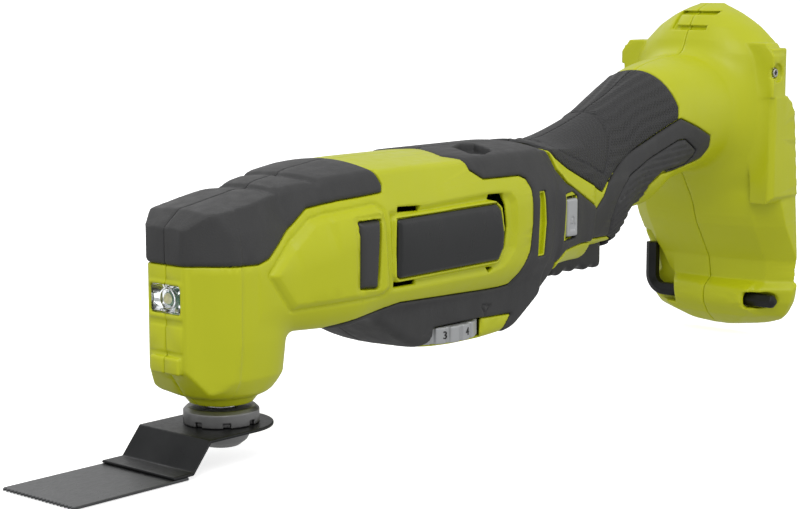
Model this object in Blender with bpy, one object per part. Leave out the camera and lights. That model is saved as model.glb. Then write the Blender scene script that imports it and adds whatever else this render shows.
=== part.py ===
"""Cordless oscillating multi tool, bare tool with a plunge cutting blade.
Working frame while modelling: millimetres, spindle axis at X = 0, Y = 0, blade seat at Z = 0,
+X to the battery foot, -Y the operator's left, +Z up. Everything is moved to the base frame at the end."""

import math

import bmesh
import bpy
import numpy as np
from mathutils import Matrix, Vector

# ---------------------------------------------------------------- driving dimensions (mm)
WALL = 2.6                 # housing wall
GAP = 0.3                  # clearance between neighbouring pieces
SKIN = 1.3                 # soft overmould thickness
RECESS = SKIN + GAP        # depth of the pocket that an overmould sits in
SEAM = 0.15                # half of the gap between the two clamshell halves
SIDES = 9                  # facets round half a section
FLAT = 2.0                 # degrees; faces flatter than this to each other are merged

X_NOSE = -21.9             # front face of the gear head
X_REAR = 289.0             # rear rim of the battery foot at its lowest point
RIM_LEAN = 0.106           # the rim plane leans forward, mm per mm of height
Z_FOOT = -8.0              # underside of the foot
X_TIP = -71.5              # cutting edge of the blade
Z_PLATE = -10.3            # underside of the cutting plate, the lowest point

SPINDLE_R = 5.2
FLANGE_R, FLANGE_H = 11.75, 4.0
BLADE_W, BLADE_T = 32.0, 1.0

MOTOR_Z = 50.0             # height of the motor axis
MOTOR_R = 18.0
ECCENTRIC = 0.5            # throw of the eccentric pin

DIAL_X, DIAL_R, DIAL_Z0, DIAL_Z1 = 88.5, 22.6, 12.9, 20.6
KEY_X, KEY_Z, KEY_AF = 277.6, 5.0, 5.0
TRIGGER_X0, TRIGGER_X1, TRIGGER_HALF = 154.0, 186.0, 9.6
LOCK_X, LOCK_Z, LOCK_W, LOCK_H, LOCK_HALF = 148.6, 50.9, 7.6, 14.6, 23.6

# stations of the body: x, underside, top, half width, squareness of the section
BODY = [
    (-21.9, 15.0, 61.3, 9.0, 5.0), (-20.6, 12.6, 62.8, 11.0, 4.6), (-18.0, 11.0, 65.0, 13.6, 4.2),
    (-13.0, 8.6, 67.3, 16.4, 4.0), (-7.0, 7.2, 68.6, 18.2, 3.8), (2.0, 7.0, 70.0, 19.0, 3.8),
    (9.0, 7.8, 70.8, 19.4, 3.8), (14.0, 11.5, 72.0, 19.9, 3.8), (17.2, 15.5, 73.0, 20.6, 3.8),
    (18.2, 26.2, 73.3, 21.0, 3.8), (26.0, 26.6, 74.8, 23.2, 3.8), (37.0, 26.2, 77.0, 25.0, 3.8),
    (47.0, 20.6, 78.0, 25.9, 3.8), (57.0, 15.6, 78.0, 26.1, 3.8), (64.6, 11.9, 78.0, 26.2, 3.8),
    (74.0, 11.2, 78.0, 26.2, 3.8), (104.0, 11.2, 78.0, 26.2, 3.8), (114.0, 13.6, 78.0, 26.1, 3.8),
    (128.0, 21.0, 78.0, 25.6, 3.8), (141.0, 28.6, 77.8, 24.4, 3.6), (148.0, 30.2, 76.4, 22.8, 3.4),
    (157.0, 31.0, 74.6, 20.8, 3.1), (172.0, 32.2, 77.2, 18.6, 2.8), (187.0, 34.0, 84.4, 17.8, 2.6),
    (197.0, 35.4, 89.6, 17.8, 2.5), (205.0, 37.4, 93.4, 18.4, 2.4), (211.0, 43.0, 96.0, 19.0, 2.4),
    (223.0, 48.2, 100.6, 20.6, 2.3), (238.0, 54.4, 103.0, 22.6, 2.3), (250.0, 57.0, 104.0, 25.0, 2.3),
    (262.0, 56.0, 108.0, 29.0, 2.2), (274.0, 48.0, 112.0, 31.0, 2.2),
]
# stations of the battery foot: z, front, half width
FOOT = [
    (-8.0, 286.0, 15.0), (-6.6, 281.0, 23.6), (-2.0, 274.6, 29.6), (4.0, 273.0, 32.8), (9.5, 273.2, 33.8),
    (14.0, 275.6, 34.4), (21.0, 275.4, 34.8), (30.0, 270.0, 35.0), (38.0, 264.6, 35.2), (46.0, 261.8, 35.4),
    (58.0, 258.5, 35.4), (76.0, 256.0, 35.4), (92.0, 254.4, 35.0), (101.0, 253.4, 33.6), (105.0, 253.2, 31.4),
    (110.0, 254.6, 27.4), (115.5, 257.4, 21.2), (120.0, 261.0, 14.8), (123.2, 266.0, 8.4), (124.3, 271.0, 4.0),
]

LIME = (0.46, 0.50, 0.030)
CHARCOAL = (0.050, 0.050, 0.052)
MATERIALS = {
    "lime_plastic": (LIME, 0.0, 0.38), "soft_overmould": (CHARCOAL, 0.0, 0.62),
    "black_plastic": ((0.018, 0.018, 0.019), 0.0, 0.45), "clear_plastic": ((0.80, 0.83, 0.84), 0.0, 0.12),
    "silver_plastic": ((0.50, 0.51, 0.52), 0.2, 0.36), "bright_steel": ((0.56, 0.56, 0.57), 1.0, 0.30),
    "grey_steel": ((0.30, 0.30, 0.30), 1.0, 0.42), "black_steel": ((0.022, 0.023, 0.024), 0.6, 0.42),
    "cast_metal": ((0.42, 0.43, 0.44), 0.9, 0.50), "copper": ((0.72, 0.33, 0.17), 0.9, 0.35),
    "brass": ((0.72, 0.56, 0.24), 0.9, 0.33), "rubber": ((0.020, 0.020, 0.021), 0.0, 0.75),
    "circuit_board": ((0.015, 0.12, 0.05), 0.0, 0.45), "carbon": ((0.035, 0.035, 0.038), 0.0, 0.6),
    "red_insulation": ((0.45, 0.02, 0.02), 0.0, 0.45), "black_insulation": ((0.02, 0.02, 0.02), 0.0, 0.45),
}


# ---------------------------------------------------------------- small tools
def clear_scene():
    for thing in list(bpy.data.objects):
        bpy.data.objects.remove(thing, do_unlink=True)


def material(name):
    found = bpy.data.materials.get(name)
    if found:
        return found
    colour, metallic, roughness = MATERIALS[name]
    found = bpy.data.materials.new(name)
    found.use_nodes = True
    shader = found.node_tree.nodes["Principled BSDF"]
    shader.inputs["Base Color"].default_value = (*colour, 1.0)
    shader.inputs["Metallic"].default_value = metallic
    shader.inputs["Roughness"].default_value = roughness
    return found


def make(name, points, faces, look=None):
    mesh = bpy.data.meshes.new(name)
    mesh.from_pydata([tuple(p) for p in points], [], [tuple(f) for f in faces])
    work = bmesh.new()
    work.from_mesh(mesh)
    bmesh.ops.recalc_face_normals(work, faces=work.faces)
    work.to_mesh(mesh)
    work.free()
    thing = bpy.data.objects.new(name, mesh)
    bpy.context.scene.collection.objects.link(thing)
    if look:
        mesh.materials.append(material(look))
    return thing


def combine(base, tool, operation):
    """One boolean, applied at once; the tool is used up."""
    step = base.modifiers.new("step", "BOOLEAN")
    step.operation, step.solver, step.object = operation, "MANIFOLD", tool
    bpy.context.view_layer.update()
    graph = bpy.context.evaluated_depsgraph_get()
    result = bpy.data.meshes.new_from_object(base.evaluated_get(graph))
    base.modifiers.clear()
    old = base.data
    looks = [m for m in old.materials]
    base.data = result
    result.materials.clear()
    if looks:
        result.materials.append(looks[0])
    for polygon in result.polygons:
        polygon.material_index = 0
    bpy.data.meshes.remove(old)
    bpy.data.objects.remove(tool, do_unlink=True)
    return base


def cut(base, *tools):
    for tool in tools:
        combine(base, tool, "DIFFERENCE")
    return base


def join(base, *tools):
    for tool in tools:
        combine(base, tool, "UNION")
    return base


def keep(base, tool):
    return combine(base, tool, "INTERSECT")


def copy_of(thing, name):
    twin = bpy.data.objects.new(name, thing.data.copy())
    bpy.context.scene.collection.objects.link(twin)
    return twin


def mirrored(thing, name):
    twin = copy_of(thing, name)
    twin.data.transform(Matrix.Diagonal((1, -1, 1, 1)))
    twin.data.flip_normals()
    return twin


def box(name, x0, x1, y0, y1, z0, z1, look=None):
    points = [(x, y, z) for x in (x0, x1) for y in (y0, y1) for z in (z0, z1)]
    faces = [(0, 1, 3, 2), (4, 6, 7, 5), (0, 4, 5, 1), (2, 3, 7, 6), (0, 2, 6, 4), (1, 5, 7, 3)]
    return make(name, points, faces, look)


def prism(name, outline, y0, y1, look=None):
    """A side view outline of (x, z) points, drawn out along Y."""
    n = len(outline)
    points = [(x, y, z) for y in (y0, y1) for x, z in outline]
    faces = [tuple(range(n)), tuple(range(2 * n - 1, n - 1, -1))]
    faces += [(i, (i + 1) % n, n + (i + 1) % n, n + i) for i in range(n)]
    return make(name, points, faces, look)


def turned(name, profile, axis, at, look=None, segments=24):
    """A solid of revolution from (radius, along) points; radius 0 closes on the axis."""
    place = {"X": lambda r, h, c, s: (h, r * c, r * s), "Y": lambda r, h, c, s: (r * s, h, r * c),
             "Z": lambda r, h, c, s: (r * c, r * s, h)}[axis]
    rings, points = [], []
    for radius, along in profile:
        if radius < 1e-6:
            rings.append([len(points)])
            points.append(place(0.0, along, 1.0, 0.0))
            continue
        rings.append(list(range(len(points), len(points) + segments)))
        for i in range(segments):
            turn = 2 * math.pi * (i + 0.5) / segments
            points.append(place(radius, along, math.cos(turn), math.sin(turn)))
    faces, count = [], len(rings)
    closed = len(rings[0]) > 1
    for a, b in zip(rings, rings[1:] + ([rings[0]] if closed else [])):
        for i in range(segments):
            j = (i + 1) % segments
            if len(a) == 1 and len(b) == 1:
                break
            if len(a) == 1:
                faces.append((a[0], b[j], b[i]))
            elif len(b) == 1:
                faces.append((a[i], a[j], b[0]))
            else:
                faces.append((a[i], a[j], b[j], b[i]))
    points = [(x + at[0], y + at[1], z + at[2]) for x, y, z in points]
    return make(name, points, faces, look)


def rod(name, radius, start, end, axis, at, look=None, segments=20):
    return turned(name, [(0, start), (radius, start), (radius, end), (0, end)], axis, at, look, segments)


def ring(name, inner, outer, start, end, axis, at, look=None, segments=20):
    return turned(name, [(inner, start), (outer, start), (outer, end), (inner, end)], axis, at, look, segments)


def wire(name, path, radius, look, sides=8):
    """A round wire along a path of points, with flat ends."""
    path = [Vector(p) for p in path]
    points, faces, side = [], [], Vector((0.13, 0.37, 0.92)).normalized()
    for i, here in enumerate(path):
        ahead = (path[min(i + 1, len(path) - 1)] - path[max(i - 1, 0)]).normalized()
        side = (side - ahead * side.dot(ahead)).normalized()
        other = ahead.cross(side)
        for s in range(sides):
            turn = 2 * math.pi * s / sides
            points.append(here + radius * (math.cos(turn) * side + math.sin(turn) * other))
    for i in range(len(path) - 1):
        for s in range(sides):
            t = (s + 1) % sides
            faces.append((i * sides + s, i * sides + t, (i + 1) * sides + t, (i + 1) * sides + s))
    faces.append(tuple(range(sides)))
    faces.append(tuple(range((len(path) - 1) * sides, len(path) * sides)))
    return make(name, points, faces, look)


# ---------------------------------------------------------------- the two lofted forms
def rolled(stations, column, grow, rising):
    """The column's curve moved by `grow` with a rolling ball, read back at any x (+ rising grows up)."""
    xs = np.array([s[0] for s in stations], float)
    values = np.array([s[column] for s in stations], float)
    fine = np.linspace(xs[0] - 8, xs[-1] + 8, 1400)
    base = np.interp(fine, xs, values)
    if abs(grow) < 1e-9:
        return fine, base
    reach = abs(grow)
    sign = 1.0 if (grow > 0) == rising else -1.0
    best = np.full_like(base, -1e9)
    for shift in np.linspace(-reach, reach, 17):
        lift = math.sqrt(max(reach * reach - shift * shift, 0.0))
        best = np.maximum(best, sign * np.interp(fine + shift, fine, base) + lift)
    return fine, sign * best


def section_stations(stations, grow, extra=()):
    xs = sorted({s[0] for s in stations} | set(extra))
    if abs(grow) < 1e-9:
        data = np.array(stations, float)
        return [(x, *(np.interp(x, data[:, 0], data[:, c]) for c in range(1, 5))) for x in xs]
    data = np.array(stations, float)
    low, high, wide = (rolled(stations, c, grow, up) for c, up in ((1, False), (2, True), (3, True)))
    rows = []
    for x in xs:
        rows.append((x, float(np.interp(x, *low)), float(np.interp(x, *high)), float(np.interp(x, *wide)),
                     float(np.interp(x, data[:, 0], data[:, 4]))))
    return rows


def body_form(name, grow, x0, x1, half, sides=SIDES, look=None, skip=1):
    """The body grown by `grow`, from x0 to x1. half: the left side and 1 mm beyond the middle plane."""
    inside = [s for s in section_stations(BODY, grow, (x0, x1)) if x0 - 1e-6 <= s[0] <= x1 + 1e-6]
    inside = [s for i, s in enumerate(inside) if i % skip == 0 or s is inside[-1] or 8 < s[0] < 30]
    points, faces, count = [], [], 0
    for x, low, high, wide, power in inside:
        middle, tall, loop = (low + high) / 2, (high - low) / 2, []
        for i in range(sides + 1):
            turn = math.pi * i / sides - math.pi / 2
            across = wide * max(math.cos(turn), 0.0) ** (2 / power)
            up = middle + tall * math.copysign(abs(math.sin(turn)) ** (2 / power), math.sin(turn))
            loop.append((x, -across, up))
        if half:
            loop = [(x, 1.0, low), *loop, (x, 1.0, high)]
        else:
            loop += [(x, -y, z) for x, y, z in reversed(loop[1:-1])]
        count = len(loop)
        points += loop
    for r in range(len(inside) - 1):
        for i in range(count):
            j = (i + 1) % count
            faces.append((r * count + i, r * count + j, (r + 1) * count + j, (r + 1) * count + i))
    faces.append(tuple(range(count)))
    faces.append(tuple(range((len(inside) - 1) * count, len(inside) * count)))
    return make(name, points, faces, look)


def rim(z):
    return X_REAR - RIM_LEAN * (z - Z_FOOT)


def foot_form(name, grow, rear, half, look=None, sides=7, skip=1):
    """The battery foot grown by `grow`, level section by level section."""
    data = np.array(FOOT, float)
    levels = [(z, f, w) for z, f, w in FOOT]
    if grow < 0:
        levels = [(z, f, w) for z, f, w in FOOT if FOOT[0][0] - grow <= z <= FOOT[-1][0] + grow - 0.6]
        levels = [(FOOT[0][0] - grow, *np.interp(FOOT[0][0] - 2 * grow, data[:, 0], data[:, 1:].T[0])[None],
                   float(np.interp(FOOT[0][0] - 2 * grow, data[:, 0], data[:, 2])))] + levels
    levels = [s for i, s in enumerate(levels) if i % skip == 0 or s is levels[-1]]
    points, faces, count = [], [], 0
    for z, front, wide in levels:
        near = [np.interp(z + dz, data[:, 0], data[:, 1]) for dz in (-abs(grow), 0, abs(grow))]
        broad = [np.interp(z + dz, data[:, 0], data[:, 2]) for dz in (-abs(grow), 0, abs(grow))]
        front = (max(near) if grow < 0 else min(near)) - grow
        wide = (min(broad) if grow < 0 else max(broad)) + grow
        wide = max(wide, 1.2)
        arc = []
        for i in range(sides + 1):
            turn = math.pi / 2 * i / sides
            x = rim(z) - (rim(z) - front) * max(math.cos(turn), 0.0) ** (2 / 2.3)
            arc.append((x, -wide * math.sin(turn) ** (2 / 2.3), z))
        if half:
            loop = [(arc[0][0], 1.0, z), *arc] + ([(rim(z) + rear, -wide, z)] if rear > 0.01 else [])
            loop += [(rim(z) + rear, 1.0, z)]
        else:
            loop = [(x, -y, zz) for x, y, zz in reversed(arc[1:])] + arc
            if rear > 0.01:
                loop = loop + [(rim(z) + rear, -wide, z), (rim(z) + rear, wide, z)]
        count = len(loop)
        points += loop
    for r in range(len(levels) - 1):
        for i in range(count):
            j = (i + 1) % count
            faces.append((r * count + i, r * count + j, (r + 1) * count + j, (r + 1) * count + i))
    faces.append(tuple(range(count)))
    faces.append(tuple(range((len(levels) - 1) * count, len(levels) * count)))
    return make(name, points, faces, look)


def grown(outline, by):
    """The side view outline moved outwards by `by` (inwards when negative)."""
    n = len(outline)
    area = sum(outline[i][0] * outline[(i + 1) % n][1] - outline[(i + 1) % n][0] * outline[i][1] for i in range(n))
    turn, result = (1 if area > 0 else -1), []
    for i in range(n):
        p, q, r = (Vector(outline[k % n]) for k in (i - 1, i, i + 1))
        a, b = (q - p).normalized(), (r - q).normalized()
        na, nb = Vector((a.y, -a.x)) * turn, Vector((b.y, -b.x)) * turn
        mid = (na + nb)
        mid = mid / max(mid.dot(mid) / 2, 0.25)
        result.append((q.x + mid.x * by, q.y + mid.y * by))
    return result


# ---------------------------------------------------------------- side view outlines (x, z)
HEAD_COVER = [(-30, 51.2), (-2, 50.6), (13.2, 66.5), (40.4, 68.0), (46.2, 68.6), (44.0, 74.5), (41.5, 90), (-30, 90)]
BELLY = [(34.5, 29.2), (43.0, 18), (60, 5), (64.6, 5), (65.0, 14.6), (74.0, 20.6), (86.0, 22.0),
         (99.0, 22.2), (116.8, 20.8), (117.6, 17.4), (150, 17.4), (150, 33.2), (143.6, 34.6), (152, 38), (178.0, 41.2),
         (187.6, 47.0), (187.6, 62), (173.2, 55.6), (157.0, 63.4), (141.6, 72.2), (147, 90), (88.0, 90),
         (93.8, 69.0), (112.4, 68.6), (120.4, 62.0), (121.4, 39.5), (113.4, 31.6), (70, 30.4), (48, 31.2)]
UPPER_GRIP = [(147.6, 90), (142.6, 73.2), (157.4, 65.4), (173.6, 57.6), (185.6, 67.4), (200.5, 79.4),
              (219.0, 85.6), (224.0, 85.2), (236.0, 90.0), (241.0, 96.0), (241.5, 120), (147.6, 120)]
LOWER_GRIP = [(189.4, 27), (189.4, 65.0), (203.5, 76.6), (220.5, 83.0), (246.0, 76.0), (247.2, 71.0),
              (238.0, 63.6), (231.0, 60.4), (229.0, 40), (215, 27)]
SIDE_STRIP = [(35.0, 60.0), (43.0, 60.6), (43.0, 39.4), (36.0, 38.4)]
NAME_PLATE = [(53.0, 58.6), (104.0, 59.4), (105.4, 57.6), (105.4, 43.0), (103.6, 41.2), (53.2, 40.6), (51.8, 42.2),
              (51.8, 57.0)]


def side_shell(name, outline, grow, deep, look, x0=-21.9, x1=262.0, sides=SIDES):
    """A skin of the body, from `grow` outside to `deep` inside, within one side view outline, left side."""
    shell = body_form(name, grow, x0 - max(grow, 0), x1, True, sides, look)
    cut(shell, body_form("inner", deep, x0 - deep, x1 + 20, False, sides))
    keep(shell, prism("window", outline, -60, 60))
    return trimmed(shell)


def trimmed(half):
    """Cuts a left half back to its side of the seam."""
    return cut(half, box("beyond", -60, 320, -SEAM, 60, -40, 160))


def recess_tool(outline, depth=RECESS, sides=SIDES, x0=-21.9):
    """What is taken out of the housing for a skin piece: its outline plus the gap, down to `depth`."""
    block = prism("pocket", grown(outline, GAP), -60, 60)
    return cut(block, body_form("kept", -depth, x0 + depth, 320, False, sides))


# ---------------------------------------------------------------- housing
def housing():
    left = body_form("housing_left", 0.0, X_NOSE, 262.0, True, look="lime_plastic")
    join(left, foot_form("foot", 0.0, 0.0, True))
    join(left, box("wing", 262.0, 271.2, -36.0, -16.0, 88.0, 104.5))
    join(left, prism("latch_pad", [(268.5, 46.4), (rim(46.4) - 1.5, 46.4), (rim(86.0) - 1.5, 86.0), (268.5, 86.0)],
                     -36.3, -20.0))
    join(left, box("pad_upper", -23.0, -18.5, -7.0, 0.7, 24.4, 33.0))
    join(left, box("pad_lower", -24.0, -18.5, -5.6, 0.8, 17.6, 23.2))
    room = body_form("inside", -WALL, X_NOSE + WALL, 271.0, False, 6, skip=2)
    cut(left, join(room, foot_form("foot_inside", -3.05, 20.0, False, sides=5, skip=2)))
    for outline in (HEAD_COVER, BELLY, UPPER_GRIP, LOWER_GRIP, SIDE_STRIP):
        cut(left, recess_tool(outline))
    cut(left, recess_tool(NAME_PLATE, 1.9))
    openings(left)
    trimmed(left)
    left.name = "housing_left"
    right = mirrored(left, "housing_right")
    cut(right, box("key_elbow", 266, 281.4, 21.0, 60, KEY_Z - 3.6, 27.6))
    return left, right


def openings(left):
    cut(left, rod("bore", 8.6, -5, 16, "Z", (0, 0, 0), segments=32))
    cut(left, box("lamp", -26, -15, -6.9, 6.9, 36.0, 45.4))
    for x0, x1, z0, z1 in ((54.1, 69.0, 60.7, 62.6), (53.3, 68.0, 37.1, 38.9), (94.0, 102.0, 37.2, 38.9),
                           (94.0, 104.0, 60.9, 62.6)):
        cut(left, box("vent", x0, x1, -40, -15, z0, z1))
    dial = rod("dial_room", DIAL_R + 0.7, DIAL_Z0 - 0.5, DIAL_Z1 + 0.5, "Z", (DIAL_X, 0, 0), segments=48)
    cut(left, dial)
    cut(left, box("dial_side", 76.4, 101.6, -40, -17.6, DIAL_Z0 - 3.4, DIAL_Z1 + 0.5))
    cut(left, box("trigger_slot", TRIGGER_X0 - 0.8, TRIGGER_X1 + 4.6, -TRIGGER_HALF - 0.57, 20, 20, 40.5))
    cut(left, box("lock_slot", LOCK_X - LOCK_W / 2 - 0.4, LOCK_X + LOCK_W / 2 + 0.4, -40, 20,
                  LOCK_Z - LOCK_H / 2 - 0.4, LOCK_Z + LOCK_H / 2 + 0.4))
    cut(left, rod("key_channel", 3.5, -33.6, 40, "Y", (KEY_X, 0, KEY_Z), segments=24))
    cut(left, box("key_window", 262, KEY_X, -33.6, -19.0, KEY_Z - 3.4, KEY_Z + 3.4))
    cut(left, rod("screw_hole", 2.2, -40, -20, "Y", (265.6, 0, 97.6), segments=20))
    cut(left, box("top_recess", 250, 272, -7.6, 20, 114.6, 119.8))


def overmoulds():
    cover = side_shell("head_cover_left", HEAD_COVER, 0.5, -SKIN, "soft_overmould", x1=60)
    belly = side_shell("body_grip_left", BELLY, 0.45, -SKIN, "soft_overmould", x0=20, x1=200)
    cut(belly, box("dial_side", 76.4, 101.6, -40, -17.6, DIAL_Z0 - 3.4, DIAL_Z1 + 0.5),
        rod("dial_room", DIAL_R + 0.7, DIAL_Z0 - 0.5, DIAL_Z1 + 0.5, "Z", (DIAL_X, 0, 0), segments=48),
        box("trigger_slot", TRIGGER_X0 - 0.8, TRIGGER_X1 + 5, -TRIGGER_HALF - 0.6, 20, 20, 36),
        box("lock_slot", LOCK_X - LOCK_W / 2 - 0.4, LOCK_X + LOCK_W / 2 + 0.4, -40, 20,
            LOCK_Z - LOCK_H / 2 - 0.4, LOCK_Z + LOCK_H / 2 + 0.4),
        box("top_pocket", 112, 131, -17, 17, 77.2, 90))
    upper = side_shell("handle_grip_upper_left", UPPER_GRIP, 0.5, -SKIN, "soft_overmould", x0=130)
    lower = side_shell("handle_grip_lower_left", LOWER_GRIP, 0.9, -SKIN, "soft_overmould", x0=150)
    strip = side_shell("side_strip_left", SIDE_STRIP, 0.35, -SKIN, "soft_overmould", x0=20, x1=60)
    plate = side_shell("name_plate_left", NAME_PLATE, 0.7, -1.5, "black_plastic", x0=40, x1=120)
    for piece in (cover, belly, upper, lower, strip, plate):
        mirrored(piece, piece.name.replace("_left", "_right"))


def lamp():
    lens = box("led_lens", -22.4, -19.0, -6.5, 6.5, 36.4, 45.0, "clear_plastic")
    cut(lens, rod("dish", 3.2, -20.4, -15, "X", (0, 0, 40.7), segments=24))
    board = box("led_board", -18.6, -17.5, -7.6, 7.6, 34.0, 47.0, "circuit_board")
    join(board, rod("led", 2.2, -20.0, -17.8, "X", (0, 0, 40.7), segments=20))
    return lens, board


# ---------------------------------------------------------------- spindle, head and blade
def gear_head():
    case = turned("gear_case", [(7.0, 12.2), (9.8, 12.2), (13.8, 18.4), (13.8, 58.6), (11.6, 63.0), (6.4, 63.6),
                                (6.4, 62.6), (9.6, 62.6), (9.6, 57.0), (12.6, 57.0), (12.6, 21.2), (9.7, 21.2),
                                (9.7, 13.6), (7.0, 13.6)], "Z", (0, 0, 0), "cast_metal", 24)
    cut(case, box("rear_window", -0.6, 30, -14.4, 14.4, 40.0, 56.8))
    shaft = turned("spindle_shaft", [(0, -0.9), (3.9, -0.9), (3.9, 4.3), (SPINDLE_R, 4.3), (SPINDLE_R, 62.4),
                                     (0, 62.4)], "Z", (0, 0, 0), "bright_steel", 24)
    cut(shaft, rod("thread", 3.2, -3, 16, "Z", (0, 0, 0), segments=24))
    ring("spindle_bearing_lower", SPINDLE_R + 0.2, 9.5, 13.9, 20.9, "Z", (0, 0, 0), "bright_steel")
    ring("spindle_bearing_upper", SPINDLE_R + 0.2, 9.4, 57.9, 62.3, "Z", (0, 0, 0), "bright_steel")
    turned("dust_seal", [(SPINDLE_R + 0.25, 8.0), (7.9, 8.0), (8.3, 8.6), (8.3, 11.9), (SPINDLE_R + 0.25, 11.9)],
           "Z", (0, 0, 0), "rubber", 20)
    flange = turned("tool_flange", [(4.2, 0.0), (FLANGE_R - 0.3, 0.0), (FLANGE_R, 0.3), (FLANGE_R, FLANGE_H - 1.0),
                                    (FLANGE_R - 1.0, FLANGE_H), (4.2, FLANGE_H)],
                    "Z", (0, 0, 0), "grey_steel", 32)
    for step in range(8):
        turn = math.radians(45 * step + 10)
        tool = box("notch", FLANGE_R - 1.3, FLANGE_R + 3, -1.1, 1.1, -2, 1.5)
        tool.data.transform(Matrix.Rotation(turn, 4, "Z"))
        cut(flange, tool)
    fork()


def fork():
    hub = ring("oscillating_fork", SPINDLE_R + 0.15, 9.4, 42.5, 56.6, "Z", (0, 0, 0), "grey_steel")
    reach = 9.9
    for side in (-1, 1):
        low, high = sorted((side * reach, side * 12.3))
        join(hub, box("arm", 0.5, 29.5, low, high, 44.5, 55.5))
    bridge = box("bridge", 4.0, 8.4, -12.0, 12.0, 43.2, 55.9)
    cut(bridge, rod("clear", SPINDLE_R + 0.15, 40, 60, "Z", (0, 0, 0)))
    join(hub, bridge)


def blade():
    low, top = -8.4 - BLADE_T, -8.4
    side = [(18, -0.03), (-19.2, -0.03), (-26.3, top), (-34.1, top), (-34.1, low), (-26.9, low),
            (-19.9, -BLADE_T), (18, -BLADE_T)]
    bracket = prism("blade_bracket", side, -BLADE_W / 2, BLADE_W / 2, "black_steel")
    bound = rod("round_end", BLADE_W / 2, -20, 20, "Z", (0, 0, 0), segments=44)
    join(bound, box("front", -60, 0, -BLADE_W / 2 - 0.01, BLADE_W / 2 + 0.01, -20, 20))
    keep(bracket, bound)
    cut(bracket, rod("seat_hole", 4.4, -5, 5, "Z", (0, 0, 0), segments=16))
    for step in range(8):
        turn = math.radians(45 * step + 22.5)
        tool = rod("drive_hole", 1.2, -5, 5, "Z", (8.6 * math.cos(turn), 8.6 * math.sin(turn), 0), segments=6)
        cut(bracket, tool)
    teeth, count = [], 20
    for i in range(count):
        y = -BLADE_W / 2 + BLADE_W * i / count
        teeth += [(X_TIP + 0.9, y), (X_TIP, y + BLADE_W / count / 2)]
    outline = [(-28.2, -BLADE_W / 2), (-28.2, BLADE_W / 2), (X_TIP + 0.9, BLADE_W / 2)] + teeth[::-1]
    n, top = len(outline), low - 0.02
    points = [(x, y, z) for z in (Z_PLATE, top) for x, y in outline]
    faces = [tuple(range(n)), tuple(range(2 * n - 1, n - 1, -1))]
    faces += [(i, (i + 1) % n, n + (i + 1) % n, n + i) for i in range(n)]
    make("blade_plate", points, faces, "black_steel")
    ring("clamp_washer", 3.6, 9.2, -2.2, -1.2, "Z", (0, 0, 0), "grey_steel")
    bolt = turned("clamp_bolt", [(0, -7.0), (3.0, -7.6), (5.6, -7.2), (8.0, -5.4), (9.3, -2.9), (9.3, -2.4), (2.9, -2.4),
                                 (2.9, 14.4), (2.2, 15.4), (0, 15.4)], "Z", (0, 0, 0), "grey_steel", 24)
    socket = rod("socket", 2.9, -12, -4.4, "Z", (0, 0, 0), segments=6)
    cut(bolt, socket)


# ---------------------------------------------------------------- motor and drive
def motor():
    centre = (0, 0, MOTOR_Z)
    can = turned("motor_can", [(4.2, 50.0), (MOTOR_R, 50.0), (MOTOR_R, 99.6), (MOTOR_R - 1.6, 99.6),
                               (MOTOR_R - 1.6, 54.0), (8.4, 54.0), (8.4, 51.4), (4.2, 51.4)],
                 "X", centre, "grey_steel", 24)
    turned("motor_bearing_front", [(2.75, 51.7), (8.1, 51.7), (8.1, 56.6), (2.75, 56.6)], "X", centre,
           "bright_steel", 20)
    cap = turned("motor_end_cap", [(0, 116.6), (7.0, 116.6), (MOTOR_R - 1.8, 115.0), (MOTOR_R - 0.2, 112.0),
                                   (MOTOR_R - 0.2, 99.9), (MOTOR_R - 2.0, 99.9), (MOTOR_R - 2.0, 110.6),
                                   (6.6, 110.6), (6.6, 115.2), (0, 115.2)], "X", centre, "black_plastic", 20)
    ring("motor_bearing_rear", 2.75, 6.3, 110.9, 114.6, "X", centre, "bright_steel", 24)
    shaft = turned("motor_shaft", [(0, 28.0), (4.2, 28.0), (4.2, 31.0), (2.55, 31.0), (2.55, 114.4), (0, 114.4)],
                   "X", centre, "bright_steel", 20)
    join(shaft, rod("pin", 2.6, 17.4, 29.4, "X", (0, ECCENTRIC, MOTOR_Z), segments=20))
    ring("eccentric_bearing", 2.8, 8.5, 18.0, 25.5, "X", (0, ECCENTRIC, MOTOR_Z), "bright_steel", 24)
    core = turned("armature_core", [(2.75, 60.0), (14.0, 60.0), (14.0, 88.0), (2.75, 88.0)], "X", centre,
                  "copper", 30)
    for step in range(5):
        tool = box("slot", 58, 90, 9.0, 17, -0.9, 0.9)
        tool.data.transform(Matrix.Rotation(math.radians(72 * step), 4, "X"))
        tool.data.transform(Matrix.Translation(centre))
        cut(core, tool)
    ring("commutator", 2.75, 5.6, 90.0, 106.0, "X", centre, "copper", 24)
    for side, name in ((-1, "carbon_brush_left"), (1, "carbon_brush_right")):
        low, high = sorted((side * 6.0, side * 13.4))
        box(name, 99.0, 105.0, low, high, MOTOR_Z - 2.6, MOTOR_Z + 2.6, "carbon")
    fan(centre)


def fan(centre):
    wheel = turned("cooling_fan", [(2.75, 38.0), (5.5, 38.0), (5.5, 45.6), (16.5, 45.6), (16.5, 47.4),
                                   (2.75, 47.4)], "X", centre, "black_plastic", 22)
    for step in range(7):
        vane = box("vane", 39.4, 46.5, 4.4, 16.0, -0.7, 0.7)
        vane.data.transform(Matrix.Rotation(math.radians(360 * step / 7), 4, "X"))
        vane.data.transform(Matrix.Translation(centre))
        join(wheel, vane)
    return wheel


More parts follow.
